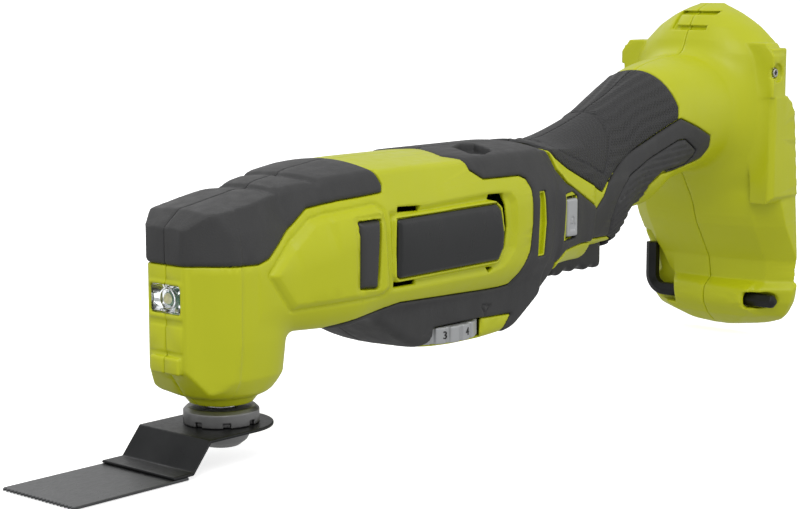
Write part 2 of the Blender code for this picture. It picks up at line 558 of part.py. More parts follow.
# ---------------------------------------------------------------- controls and wiring
def controls():
    profile = [(5.2, DIAL_Z0 + 0.0), (DIAL_R, DIAL_Z0 + 0.0), (DIAL_R, DIAL_Z1), (5.2, DIAL_Z1)]
    dial = turned("speed_dial", profile, "Z", (DIAL_X, 0, 0), "silver_plastic", 36)
    for step in range(12):
        turn = math.radians(30 * step + 10)
        tool = box("flute", DIAL_R - 0.5, DIAL_R + 2, -0.8, 0.8, 0, 40)
        tool.data.transform(Matrix.Rotation(turn, 4, "Z"))
        tool.data.transform(Matrix.Translation((DIAL_X, 0, 0)))
        cut(dial, tool)
    axle = box("dial_board", 72, 105, -9, 9, 21.6, 23.0, "circuit_board")
    join(axle, rod("post", 4.9, 13.1, 22.0, "Z", (DIAL_X, 0, 0), segments=24))
    trigger()
    switch = box("switch_module", 157.0, 190.0, -8.6, 8.6, 45.4, 60.0, "black_plastic")
    join(switch, box("terminals", 186, 193.0, -6, 6, 48, 56))
    button = box("lock_button", LOCK_X - LOCK_W / 2, LOCK_X + LOCK_W / 2, -LOCK_HALF, LOCK_HALF,
                 LOCK_Z - LOCK_H / 2, LOCK_Z + LOCK_H / 2, "silver_plastic")
    cut(button, box("waist", LOCK_X - 9, LOCK_X + 1.2, -10, 10, LOCK_Z - 20, LOCK_Z + 20))
    board = box("control_board", 120.4, 138.6, -14, 14, 55.0, 56.6, "circuit_board")
    join(board, rod("capacitor", 4.0, 56.0, 68.0, "Z", (129.0, -7.0, 0), segments=16))


def trigger():
    side = [(TRIGGER_X0, 31.4), (TRIGGER_X0 + 2.2, 28.6), (163.5, 27.6), (166, 28.6), (172, 28.2), (174.5, 27.2),
            (177, 28.0), (183.5, 27.4), (TRIGGER_X1, 30.2), (TRIGGER_X1, 38.4), (TRIGGER_X0, 38.4)]
    lever = prism("trigger", side, -TRIGGER_HALF, TRIGGER_HALF, "black_plastic")
    join(lever, box("stem", 168.7, 171.3, -1.3, 1.3, 38, 41.2))
    wire("trigger_spring", [(170 + 2.7 * math.cos(a), 2.7 * math.sin(a), 39.1 + 5.6 * a / (8 * math.pi))
                            for a in np.linspace(0, 8 * math.pi, 33)], 0.32, "bright_steel", 5)
    return lever


def battery_contacts():
    block = box("battery_terminal_block", 222.0, 229.0, -13.0, 13.0, 62.5, 86.5, "black_plastic")
    join(block, box("collar", 226, 231.0, -10.4, 10.4, 65.0, 84.0))
    for slot in (-7.0, 0.0, 7.0):
        cut(block, box("slot", 219, 234, slot - 0.7, slot + 0.7, 66.6, 80.4))
    for name, y in (("terminal_blade_minus", -7.0), ("terminal_blade_sense", 0.0), ("terminal_blade_plus", 7.0)):
        box(name, 217.5, 245.0, y - 0.4, y + 0.4, 67.0, 80.0, "brass")
    wire("motor_lead_red", [(194.2, 4.0, 53.0), (200, 5.0, 55.0), (207, 6.4, 63.0), (212, 7.0, 70.0),
                            (215.8, 7.0, 73.5)], 1.0, "red_insulation")
    wire("motor_lead_black", [(194.2, -4.0, 53.0), (200, -5.0, 55.0), (207, -6.4, 63.0), (212, -7.0, 70.0),
                              (215.8, -7.0, 73.5)], 1.0, "black_insulation")


def hex_key():
    """A hexagon rod bent to a right angle: the long arm lies across the foot, the short arm stands up."""
    radius, bend, points, faces = KEY_AF / math.sqrt(3), 5.0, [], []
    path = [((KEY_X, -30.6, KEY_Z), (0, 1, 0))]
    for i in range(7):
        turn = math.radians(15 * i)
        path.append(((KEY_X, 28.6 - bend + bend * math.sin(turn), KEY_Z + bend - bend * math.cos(turn)),
                     (0, math.cos(turn), math.sin(turn))))
    path.append(((KEY_X, 28.6, 24.4), (0, 0, 1)))
    for here, ahead in path:
        here, ahead, side = Vector(here), Vector(ahead), Vector((1, 0, 0))
        other = ahead.cross(side)
        for s in range(6):
            turn = math.radians(60 * s + 30)
            points.append(here + radius * (math.cos(turn) * side + math.sin(turn) * other))
    for r in range(len(path) - 1):
        for s in range(6):
            t = (s + 1) % 6
            faces.append((r * 6 + s, r * 6 + t, (r + 1) * 6 + t, (r + 1) * 6 + s))
    faces += [tuple(range(6)), tuple(range((len(path) - 1) * 6, len(path) * 6))]
    return make("hex_key", points, faces, "black_steel")


def screws():
    for name, side in (("foot_screw_left", -1), ("foot_screw_right", 1)):
        low, high = sorted((side * 35.0, side * 24.0))
        screw = rod(name, 1.8, low, high, "Y", (265.6, 0, 97.6), "bright_steel", 16)
        low, high = sorted((side * 36.5, side * 33.8))
        cut(screw, rod("drive", 0.9, low, high, "Y", (265.6, 0, 97.6), segments=6))
    for index, (x, z) in enumerate(((31.0, 32.6), (62.0, 25.6), (139.5, 69.5), (203.0, 50.0)), start=1):
        screw = rod(f"housing_screw_{index}", 1.5, -9.0, 9.0, "Y", (x, 0, z), "grey_steel", 12)


# ---------------------------------------------------------------- assembly
JOINT_AT = {
    "speed_dial": (DIAL_X, 0, (DIAL_Z0 + DIAL_Z1) / 2), "trigger": (170, 0, 33), "lock_button": (LOCK_X, 0, LOCK_Z),
    "hex_key": (KEY_X, 0, KEY_Z), "motor_shaft": (70, 0, MOTOR_Z),
}


def settle():
    """Moves all pieces to the base frame in metres, with each moving piece's origin on its own joint."""
    shift = Vector((-(X_TIP + X_REAR) / 2, 0, -Z_PLATE))
    for thing in bpy.data.objects:
        origin = Vector(JOINT_AT.get(thing.name, (0, 0, 0)))
        thing.data.transform(Matrix.Scale(0.001, 4) @ Matrix.Translation(-origin))
        thing.location = (origin + shift) * 0.001
        work = bmesh.new()
        work.from_mesh(thing.data)
        if len(work.faces) > 200:
            bmesh.ops.dissolve_limit(work, angle_limit=math.radians(FLAT), verts=work.verts, edges=work.edges)
            bmesh.ops.triangulate(work, faces=work.faces)
        bmesh.ops.remove_doubles(work, verts=work.verts, dist=4e-6)
        bmesh.ops.dissolve_degenerate(work, edges=work.edges, dist=4e-6)
        bmesh.ops.recalc_face_normals(work, faces=work.faces)
        work.to_mesh(thing.data)
        work.free()


clear_scene()
bpy.context.scene.unit_settings.scale_length = 1.0
housing()
overmoulds()
lamp()
gear_head()
blade()
motor()
controls()
battery_contacts()
hex_key()
screws()
settle()
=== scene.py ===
"""Looks of the cordless oscillating multi tool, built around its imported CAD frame.

Shapes are written in millimetres from the spindle axis: +X to the battery foot, -Y to the operator's
left, +Z up, Z = 0 at the underside of the tool flange. Each shape is a distance field, negative inside,
which carve() turns into a mesh. place() moves millimetres to the frame's metres."""

import math

import bpy
import numpy as np
from mathutils import Matrix, Vector


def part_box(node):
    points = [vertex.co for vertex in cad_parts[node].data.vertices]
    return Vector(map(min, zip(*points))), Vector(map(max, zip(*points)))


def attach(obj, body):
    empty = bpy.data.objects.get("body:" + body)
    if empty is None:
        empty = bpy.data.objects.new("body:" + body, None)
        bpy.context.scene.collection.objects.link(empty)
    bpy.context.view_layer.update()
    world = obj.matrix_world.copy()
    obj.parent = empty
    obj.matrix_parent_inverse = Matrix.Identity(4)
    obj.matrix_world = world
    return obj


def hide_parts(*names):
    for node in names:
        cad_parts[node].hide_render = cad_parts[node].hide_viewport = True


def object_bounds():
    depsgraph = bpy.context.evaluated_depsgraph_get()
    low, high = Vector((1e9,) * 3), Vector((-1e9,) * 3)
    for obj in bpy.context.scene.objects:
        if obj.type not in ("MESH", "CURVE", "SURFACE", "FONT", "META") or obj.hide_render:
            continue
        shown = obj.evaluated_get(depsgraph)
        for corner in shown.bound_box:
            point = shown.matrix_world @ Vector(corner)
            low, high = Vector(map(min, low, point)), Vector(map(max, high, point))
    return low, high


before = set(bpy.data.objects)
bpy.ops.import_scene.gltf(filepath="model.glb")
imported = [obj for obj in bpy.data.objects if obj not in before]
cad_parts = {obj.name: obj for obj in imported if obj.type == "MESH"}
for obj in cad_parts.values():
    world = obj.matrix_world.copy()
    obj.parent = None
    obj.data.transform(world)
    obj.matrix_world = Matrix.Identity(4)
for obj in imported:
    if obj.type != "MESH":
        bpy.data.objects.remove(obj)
cad_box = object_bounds()

FLANGE_LOW, FLANGE_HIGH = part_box("tool_flange")
ORIGIN = np.array([(FLANGE_LOW.x + FLANGE_HIGH.x) / 2, (FLANGE_LOW.y + FLANGE_HIGH.y) / 2, FLANGE_LOW.z])


def node_box(node):
    """A CAD node's box in millimetres from the spindle."""
    low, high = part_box(node)
    return (np.array(low) - ORIGIN) * 1000, (np.array(high) - ORIGIN) * 1000


FINE = 0.6  # mm, grid of the housing and its skins
WALL = 2.6  # housing wall
SKIN, RAISED, SKIN_EDGE = 1.3, 0.45, 0.6  # overmould: thickness, rise above the housing, rounded edge
SEAM = 0.17  # half of a visible joint line
SIDE = 15.0  # side panels, plates and vents stay this far from the middle plane
TRIM = 14.0  # and the green trims this far
HEAD_FRONT = 21.9  # from the spindle axis to the face with the lamp
FOOT_LOW, FOOT_HIGH, RIM_LEAN = -8.0, 124.3, 0.106
SCREW_X, SCREW_Z = 265.6, 97.6  # the screws through the wings of the foot
BAR_X, BAR_Z = 277.6, 5.0  # the long arm of the hex key, which runs across the foot
POCKET_DEPTH = 3.2  # the shallow pocket on top of the body
REAR = node_box("housing_left")[1][0]
BLADE_TIP = node_box("blade_plate")[0][0]
DIAL_LOW, DIAL_HIGH = node_box("speed_dial")
DIAL_RAISED = 2.1  # the ribbed wheel starts this far above the lower end of the node
DIAL_X, DIAL_R = (DIAL_LOW[0] + DIAL_HIGH[0]) / 2, (DIAL_HIGH[0] - DIAL_LOW[0]) / 2
DIAL_Z = (DIAL_LOW[2] + DIAL_RAISED + DIAL_HIGH[2]) / 2
DIAL_HALF = (DIAL_HIGH[2] - (DIAL_LOW[2] + DIAL_RAISED)) / 2  # half of the wheel's height
LOCK_LOW, LOCK_HIGH = node_box("lock_button")
KEY_LOW, KEY_HIGH = node_box("hex_key")


# ---------------------------------------------------------------- fields
def blend_min(a, b, k):
    h = np.clip(0.5 + 0.5 * (b - a) / k, 0.0, 1.0)
    return b + (a - b) * h - k * h * (1.0 - h)


def blend_max(a, b, k):
    return -blend_min(-a, -b, k)


def ramp(value, start, end):
    """0 up to `start`, 1 from `end` on, and smooth between."""
    t = np.clip((value - start) / (end - start), 0.0, 1.0)
    return t * t * (3.0 - 2.0 * t)


def step_in(distance, width):
    """0 outside an outline, rising smoothly to 1 at `width` inside it."""
    return ramp(-distance, 0.0, width)


def groove(distance, width, at=0.0):
    """1 where the distance is `at`, falling to 0 on both sides."""
    return np.exp(-((distance - at) / width) ** 2)


def oval(u, v, power, least=1e-9):
    """Superellipse radius of two lengths that aren't negative; `least` keeps its slope finite at 0."""
    return (u ** power + v ** power + least) ** (1 / power)


def curve(points, soften=0.0):
    """A function of one value through (at, value) points, with corners rounded over `soften` mm."""
    at, value = (np.array(c, float) for c in zip(*points))
    if soften <= 0:
        return lambda x: np.interp(x, at, value)
    fine = np.arange(at[0] - 4 * soften, at[-1] + 4 * soften, 0.25)
    weight = np.exp(-0.5 * (np.arange(-3 * soften, 3 * soften + 0.1, 0.25) / soften) ** 2)
    pad = len(weight) // 2
    raw = np.pad(np.interp(fine, at, value), pad, mode="edge")
    smooth = np.convolve(raw, weight / weight.sum(), "same")[pad:-pad]
    return lambda x: np.interp(x, fine, smooth)


def inset(points, by):
    """A closed outline moved inwards by `by`."""
    points = [Vector(p) for p in points]
    n = len(points)
    area = sum(points[i].x * points[(i + 1) % n].y - points[(i + 1) % n].x * points[i].y for i in range(n))
    side, result = (1 if area > 0 else -1), []
    for i, q in enumerate(points):
        a, b = (q - points[i - 1]).normalized(), (points[(i + 1) % n] - q).normalized()
        mid = (Vector((-a.y, a.x)) + Vector((-b.y, b.x))) * side
        result.append(q + mid * by / max(mid.dot(mid) / 2, 0.3))
    return [tuple(p) for p in result]


def outline(points, radius=0.0):
    """A function (u, v) giving the signed distance to a closed outline whose corners are rounded."""
    shape = inset(points, radius) if radius else points

    def distance(u, v):
        best = np.full(np.broadcast(u, v).shape, 1e9)
        inside = np.zeros(best.shape, bool)
        for (au, av), (bu, bv) in zip(shape, shape[1:] + shape[:1]):
            du, dv = bu - au, bv - av
            t = np.clip(((u - au) * du + (v - av) * dv) / max(du * du + dv * dv, 1e-9), 0.0, 1.0)
            best = np.minimum(best, (u - au - t * du) ** 2 + (v - av - t * dv) ** 2)
            if dv:
                inside ^= ((av > v) != (bv > v)) & (u < au + (v - av) * du / dv)
        return np.where(inside, -1.0, 1.0) * np.sqrt(best) - radius
    return distance


def block(x, y, z, low, high, radius=0.5):
    """A box with rounded edges."""
    parts = []
    for value, a, b in zip((x, y, z), low, high):
        parts.append(np.abs(value - (a + b) / 2) - (b - a) / 2 + radius)
    outside = np.sqrt(sum(np.maximum(p, 0.0) ** 2 for p in parts))
    return outside + np.minimum(np.maximum(np.maximum(parts[0], parts[1]), parts[2]), 0.0) - radius


def side_zone(shape, beyond=None):
    """A side view outline as a zone in space; `beyond` keeps it that far from the middle plane."""
    def zone(x, y, z):
        return shape(x, z) if beyond is None else np.maximum(shape(x, z), beyond - np.abs(y))
    return zone


def hexagon(u, v, across):
    """A hexagonal bar, `across` mm from its middle to each flat."""
    slants = np.maximum(np.abs(0.866 * u + 0.5 * v), np.abs(0.866 * u - 0.5 * v))
    return np.maximum(np.abs(v), slants) - across


def spokes(x, y, start):
    """Places along and across the nearest of eight spokes, the first at `start` degrees."""
    step = math.radians(45.0)
    local = (np.arctan2(y, x) - math.radians(start) + step / 2) % step - step / 2
    r = np.hypot(x, y)
    return r * np.cos(local), r * np.sin(local)


# ---------------------------------------------------------------- the form of the whole tool
# Profiles of (place, value) pairs. The place is X for the body and the grip, and Z for NOSE_R and the foot.
TOP = curve([
    (-24, 60.2), (-21.9, 61.8), (-15.9, 66.6), (-11.3, 67.3), (5.7, 70.4), (7.5, 70.6), (11.4, 70.3),
    (12.6, 71.7), (15.8, 72.6), (22, 73.5), (24.4, 73), (25.7, 74.4), (28.5, 75.1), (40.8, 76.7),
    (48, 77.2), (60, 77.5), (133, 77.7), (141, 76.9), (149, 75.6), (160, 74)
], 0.32)
HALF = curve([
    (0, 18.2), (14, 20.2), (26, 23.4), (37, 25.3), (47, 26.1), (57, 26.4), (110, 26.4), (128, 25.8),
    (141, 24.2), (150, 22), (160, 19.6)
], 3.0)
FRAME_LOW = curve([(0, 27.4), (37, 26.8), (48, 29), (110, 29.6), (133, 30.6), (141, 33), (160, 33.2)], 1.6)
BELLY_LOW = curve([
    (20, 30.8), (40, 29.6), (47, 26), (54, 21.8), (60, 18.2), (67, 15), (74, 13.3), (88, 12.6), (102, 12.6),
    (112, 13.2), (119, 14.4), (129.7, 22.2), (138.7, 29.5), (144, 34), (160, 42)
], 1.6)
BELLY_HALF = curve([(20, 20), (46, 20.6), (60, 20.6), (76, 20.8), (104, 21.2), (118, 21.8), (135, 22)], 2.0)
NOSE_R = curve([
    (6.2, 9.7), (7, 10.2), (9.2, 12), (9.6, 13.6), (10.7, 14.9), (15.7, 17.5), (27, 18.6), (48, 18.8),
    (60, 17.3), (66, 15.6), (72, 14), (80, 13.5)
], 0.35)
GRIP_TOP = curve([
    (136, 76.6), (148, 75.6), (157, 76.4), (164, 78.1), (172, 80.2), (180, 82.6), (187, 85), (197, 89),
    (205, 92.7), (213, 96.7), (223, 100.8), (234, 103), (246, 104), (262, 105)
], 2.5)
GRIP_LOW = curve([
    (136, 31.5), (141, 33.2), (187, 33.4), (192.5, 34.4), (197.5, 42.3), (202.5, 46.4), (215, 47.4),
    (226, 54.6), (245, 58.8), (262, 59.6)
], 1.1)
GRIP_HALF = curve([
    (136, 23.4), (148, 21.8), (157, 20.2), (172, 18.2), (187, 17.5), (197, 17.6), (205, 18.2), (213, 19.2),
    (223, 20.8), (238, 22.8), (250, 24.8), (262, 27)
], 3.0)
FOOT_FRONT = curve([
    (-8, 286.4), (-6.4, 281), (-2, 275), (4, 273.2), (9.5, 273.4), (12.6, 277), (21, 275.4), (36, 265.4),
    (40, 263.6), (46, 261.8), (58, 258.5), (76, 256), (92, 254.4), (101, 253.4), (105, 253.2), (110, 254.4),
    (115.5, 257), (120, 260.6), (123, 265.6), (124.3, 271)
], 0.4)
FOOT_HALF = curve([
    (-8, 15), (-6.6, 23.4), (-2, 29.4), (0.1, 30.9), (4, 33.2), (9.1, 34.5), (14, 34.9), (21, 35.1),
    (36, 35.2), (76, 35.2), (90, 34.8), (98, 33.6), (104.5, 31.4), (109, 28.2), (115.5, 21.4), (120, 14.4),
    (123, 8.2), (124.3, 4)
], 1.0)


def rim(z):
    """The open rear of the foot leans forward as it rises."""
    return REAR - RIM_LEAN * (z - FOOT_LOW)


def head_form(x, y, z):
    side = np.abs(y)
    power = 2.0 + 0.6 * ramp(z, 8.0, 14.0)
    barrel = oval(np.abs(x), side, power, 1e-6) - NOSE_R(z)
    slope, behind = math.hypot(7.5, 5.9), x + HEAD_FRONT
    toe = blend_max(-7.5 / slope * x - 5.9 / slope * z - 5.2, 10.4 - z, 1.4)
    nose = blend_max(blend_max(-behind, 0.795 * side - 0.606 * behind - 6.36, 1.2), toe, 0.8)
    nose = blend_max(nose, barrel - 0.3 + 0.45 * np.minimum(x + 9.5, 0.0), 0.6)
    nose = np.maximum(nose, x + 9.0)
    lump = block(x, y, z, (-23.2, -6.2, 18.4), (-12.0, 6.2, 23.6), 0.6)
    lip = block(x, y, z, (-22.4, -7.2, 25.0), (-12.0, 7.2, 32.9), 0.7)
    hood = block(x, y, z, (-22.5, -7.4, 34.6), (-12.0, 7.4, 46.4), 1.0)
    nose = blend_min(blend_min(nose, lip, 0.4), blend_min(lump, hood, 0.4), 0.5)
    return blend_max(blend_min(barrel, nose, 2.4), 6.6 - z, 0.4)


def body_form(x, y, z):
    side = np.abs(y)
    top, half = TOP(x - 0.12 * np.maximum(side - 3.0, 0.0)), HALF(x)
    crown = z - top + 0.0055 * y * y
    bevel = 0.937 * (side - (half - 7.0 + 1.8 * ramp(x, 20.0, 48.0))) + 0.348 * (z - (top - 2.7))
    flank = side - half + 0.0011 * (z - 50.0) ** 2
    low = FRAME_LOW(x)
    chamfer = 0.80 * (side - (half - 3.4)) - 0.60 * (z - (low + 2.6))
    frame_part = blend_max(blend_max(crown, bevel, 1.6), blend_max(flank, chamfer, 2.4), 1.4)
    frame_part = blend_max(frame_part, low - z, 3.0)
    along = x - 0.1 * np.maximum(side - 2.0, 0.0) * (1.0 - ramp(x, 84.0, 100.0))
    under = side - BELLY_HALF(x) + 0.09 * np.maximum(30.0 - z, 0.0)
    under = blend_max(under, BELLY_LOW(along) - z + 0.003 * y * y, 3.0)
    under = blend_max(under, z - 44.0, 2.0)
    both = blend_min(frame_part, np.maximum(np.maximum(under, 26.0 - x), x - 146.0), 2.0)
    return np.maximum(both, np.maximum(-x, x - 166.0))


def grip_form(x, y, z):
    top, low, half = GRIP_TOP(x), GRIP_LOW(x), GRIP_HALF(x)
    tall = (top - low) / 2
    tube = (oval(np.abs(y / half), np.abs((z - (top + low) / 2) / tall), 2.2) - 1.0) * np.minimum(half, tall)
    return np.maximum(np.maximum(tube, 138.0 - x), x - 268.0)


def foot_form(x, y, z):
    """A domed front above, a flat front with cut corners below."""
    side, front, half = np.abs(y), FOOT_FRONT(z), FOOT_HALF(z)
    deep = rim(z) - front
    back = np.clip((rim(z) - x) / deep, 0.0, None)
    dome = (oval(back, side / half, 2.35) - 1.0) * np.minimum(deep, half) * 0.9
    flat = blend_max(front + 0.0045 * y * y - x, side - half, 1.2)
    flat = blend_max(flat, 0.606 * (side - (half - 10.5)) - 0.795 * (x - front - 2.6), 0.3)
    share = ramp(z, 43.0, 52.0)
    shell = dome * share + flat * (1.0 - share)
    taper = 0.83 * (side - 35.2) + 0.55 * (x - 272.5) - 1.2 * np.maximum(88.4 - z, 0.0)
    cap = np.maximum(z - FOOT_HIGH, FOOT_LOW - z)
    return np.maximum(blend_max(shell, taper, 1.0), cap)


def wings(x, y, z):
    """The two ears beside the dome and the latch pads below them."""
    side = np.abs(y)
    wing = block(x, side, z, (262.0, 18.0, 88.0), (271.0, 35.7, 109.2), 0.35)
    wing = blend_max(wing, 0.773 * (side - 35.4) + 0.634 * (z - 104.8), 0.3)
    web = block(x, side, z, (262.6, 18.0, 80.0), (REAR, 35.0, 107.0), 0.6)
    web = blend_max(web, 0.83 * (side - 35.0) + 0.55 * (x - 273.0), 0.8)
    pad = block(x, side, z, (262.4, 26.0, 46.0), (REAR, 36.0, 88.4), 0.6)
    pad = blend_max(pad, 0.80 * (side - 35.8) - 0.60 * (x - 264.2), 0.3)
    pad = blend_max(pad, 0.71 * (side - 35.8) - 0.71 * (z - 48.6), 0.3)
    pad = blend_max(pad, 0.734 * (x - 274.0) + 0.679 * (z - 87.7), 0.3)
    ears = blend_min(blend_min(wing, web, 0.35), pad, 0.3)
    return np.maximum(ears, x - rim(z) + 0.4)


def outer_form(x, y, z):
    """The outside of the tool, before panels, pockets and steps; it runs on past the open rear rim."""
    trunk = blend_min(head_form(x, y, z), body_form(x, y, z), 2.6)
    trunk = np.maximum(trunk, z - TOP(x) + 0.0055 * y * y)
    trunk = blend_min(trunk, grip_form(x, y, z), 4.0)
    foot = blend_min(foot_form(x, y, z), wings(x, y, z), 0.5)
    ridge = np.sqrt((x - 276.4) ** 2 + (z - 5.4) ** 2) - 5.9
    ridge = blend_max(ridge, np.maximum(np.abs(y + 0.5) - 19.5, 0.0), 1.0)
    foot = blend_min(foot, ridge, 2.0)
    collar = np.sqrt(((x - 262.0) / 12.0) ** 2 + (y / 29.5) ** 2 + ((z - 80.0) / 29.5) ** 2) - 1.0
    foot = blend_min(foot, collar * 15.0, 5.0)
    return blend_min(trunk, foot, 5.0)


# ---------------------------------------------------------------- side view outlines of (X, Z) corners
COVER = outline([
    (-40, 51.4), (-21, 50.9), (-1.4, 50.4), (2.9, 51.6), (20.7, 65.1), (31.7, 66.8), (48.2, 68.2),
    (49, 70.5), (47.2, 75.2), (48.4, 78), (48.4, 95), (-40, 95)
], 0.6)
PANEL = outline([
    (2.2, 46.7), (8.8, 52.4), (20.5, 61.6), (26, 62.9), (43.6, 64.8), (46.7, 63), (49, 38.2), (46.2, 36.2),
    (11.5, 35)
], 1.0)
STRIP = outline([(35.5, 60.2), (44.5, 60.5), (43.2, 38.6), (35.4, 39.1)], 0.7)
TRAY = outline([
    (48.6, 62.4), (99.7, 64.2), (110.8, 63.4), (113.6, 60.3), (113.9, 50.4), (112.7, 43.9), (106.4, 38.4),
    (99.4, 36.9), (50, 36.6)
], 1.0)
PLATE = outline([
    (52.2, 59.6), (101.9, 60.2), (104.2, 58.2), (105.6, 50), (105.4, 45), (103, 41), (53.2, 40.5),
    (51.4, 42)
], 1.0)
CRESCENT = outline([
    (99.4, 63.4), (106.9, 63.1), (108.7, 59.1), (109.6, 51.9), (108.2, 44.6), (105.6, 42.3), (106.3, 49.4),
    (106.7, 55.5), (105.4, 59.9), (99.2, 61.8)
], 0.0)
VENTS = [outline(p, 0.25) for p in (
    [(53.1, 63.3), (64.3, 62.9), (63.8, 61.2), (53.2, 61.5)],
    [(51.2, 39.4), (62.2, 39.3), (61.7, 37.8), (51.4, 37.9)], [(98, 39), (101.6, 38.8), (98.8, 37.2)])]
SADDLE = outline([
    (28, 27.4), (41.5, 29.8), (56.4, 32.3), (76.8, 31.6), (98.1, 30.9), (107.9, 30.8), (113.4, 31.2),
    (116.4, 34.7), (121.2, 42), (122.7, 51.4), (122.8, 63.1), (120.9, 66.8), (117.7, 68.1), (98.3, 68.4),
    (91, 72.6), (84, 78), (84, 95), (150, 95), (140.5, 79), (140.2, 74.1), (141.1, 72.3), (142.5, 68.1),
    (148.1, 63), (170.4, 51.6), (175.2, 55.6), (178.4, 60.6), (190.4, 69.6), (206.1, 75.5), (221.8, 81.6),
    (230.5, 78.2), (239.2, 74.2), (240.6, 69.5), (238.7, 64.9), (226.9, 62.1), (213.2, 61.1), (207.5, 57),
    (205, 30), (190.4, 20), (189.6, 38.4), (185.9, 39.5), (160.7, 40.1), (146, 39), (141, 35.4), (141, 10),
    (130, 4), (60, 4), (28, 20)
], 0.6)
DIAL_WINDOW = outline([
    (69.5, 4), (70.6, 13.6), (75.2, 15.9), (79.2, 19), (100.8, 20.8), (117, 20.5), (113.6, 15.4), (112, 4)
], 0.4)
UPPER = outline([
    (150, 95), (140.9, 79.6), (140.8, 74.6), (143.6, 72.1), (150.7, 67.9), (160.7, 63.4), (174, 57.4),
    (177.7, 60.9), (185, 66.1), (196.9, 72.1), (220.3, 81.2), (221.6, 85.6), (220.6, 91.5), (219.8, 97.3),
    (219.7, 100), (219, 120), (150, 120)
], 0.6)
LOWER = outline([
    (184.5, 20), (184.3, 40.5), (181.9, 47.1), (184.1, 53.3), (187.6, 57.8), (192.1, 61.6), (202.5, 67),
    (219.9, 73.5), (223.9, 73.6), (232.1, 69), (231.5, 66.4), (228.4, 63.4), (213.2, 61.9), (207.5, 57),
    (205, 30), (205, 20)
], 0.5)
SMOOTH_PATCH = outline([
    (140, 95), (154, 77.4), (149.1, 74.3), (164.2, 68.5), (174.9, 63.8), (179.2, 69.4), (183, 75.8),
    (184.6, 80.7), (185.8, 83.6), (186.4, 95)
], 0.3)
STRIPE_SLOT = outline([(126.5, 62.2), (130.4, 62.2), (131.2, 51), (129.8, 39.6), (125.2, 39.6)], 0.3)
LOCK_BEZEL = outline([
    (143.6, 59.6), (149.6, 60), (153.2, 58.2), (153.4, 45.4), (150, 43.2), (143, 42.9)
], 0.4)
DIAL_POINTER = outline([(100.9, 25.4), (105.4, 24.9), (103.1, 21.9)], 0.2)
# The pocket's corners are (X, Y). The two profiles give, at a height Z, the distance from the middle plane
# where the key's opening starts and the X of the step behind the saddle's hump.
TOP_POCKET = outline([
    (102.5, -6.1), (113, -1), (117.4, -4), (112.2, -16.3), (103.5, -19.4), (98.9, -16.5)
], 0.8)
KEY_MOUTH = curve([(3.5, 14.5), (9.2, 15.3), (15.1, 21.3), (23.5, 26.1), (29.9, 28.8)])
STEP_EDGE = curve([(30, 131), (38, 133), (60, 136), (65, 139), (71, 136.2), (75, 132.2), (80, 132.2)], 1.0)


def saddle_zone(x, y, z):
    """The dark saddle; on top its front edge is a shallow curve."""
    side = np.abs(y)
    front = 92.2 - 0.37 * np.minimum(side, 15.0) + 0.78 * np.maximum(side - 15.0, 0.0) - x
    zone = blend_max(SADDLE(x, z), np.where(z > 70.0, front, -9.0), 0.6)
    return blend_max(zone, -DIAL_WINDOW(x, z), 0.3)


def dial_room(x, y, z):
    round_room = blend_max(np.hypot(x - DIAL_X, y) - DIAL_R - 0.7, np.abs(z - DIAL_Z) - DIAL_HALF - 0.5, 0.2)
    mouth = block(x, y, z, (76.4, -40, 8.0), (101.6, -17.6, DIAL_HIGH[2] + 0.5), 0.5)
    return np.minimum(round_room, mouth)


def trigger_room(x, y, z):
    return block(x, y, z, (153.2, -10.2, 20.0), (190.6, 40, 40.5), 0.4)


def lock_room(x, y, z):
    gap = 0.4
    return block(x, y, z, (LOCK_LOW[0] - gap, -60, LOCK_LOW[2] - gap),
                 (LOCK_HIGH[0] + gap, 60, LOCK_HIGH[2] + gap), 0.4)


def bezel_room(x, y, z):
    return np.maximum(LOCK_BEZEL(x, z) - 0.1, TRIM - np.abs(y))


def key_room(x, y, z):
    channel = blend_max(np.hypot(x - BAR_X, z - BAR_Z) - 3.5, np.abs(y) - 33.4, 0.2)
    window = block(x, y, z, (262.0, -32.4, BAR_Z - 3.3), (BAR_X, -17.6, BAR_Z + 3.3), 1.2)
    return np.minimum(channel, window)


def lamp_room(x, y, z):
    return block(x, y, z, (-40.0, -6.6, 36.3), (-15.0, 6.6, 45.1), 1.2)


def screw_room(x, y, z):
    bore = np.hypot(x - SCREW_X, z - SCREW_Z)
    return np.minimum(np.maximum(bore - 2.2, np.abs(y) - 60), np.maximum(bore - 3.7, 34.4 - np.abs(y)))


def top_grooves(y, z, ends):
    """Distance to the groove around the bar on top of the dome; `ends` adds the groove at the bar's end."""
    side = np.abs(y)
    low = np.maximum(np.abs(z - 114.7) - 0.8, side - 7.6)
    high = np.maximum(np.abs(z - 120.4) - 0.7, side - 8.6)
    grooves = np.minimum(low, high)
    if ends:
        grooves = np.minimum(grooves, np.maximum(np.abs(side - 7.3) - 0.9, np.abs(z - 117.5) - 3.5))
    return grooves


# ---------------------------------------------------------------- from fields to meshes
CELL = np.array([(i, j, k) for i in (0, 1) for j in (0, 1) for k in (0, 1)])
CELL_EDGES = [(a, b) for a in range(8) for b in range(a + 1, 8) if np.abs(CELL[a] - CELL[b]).sum() == 1]


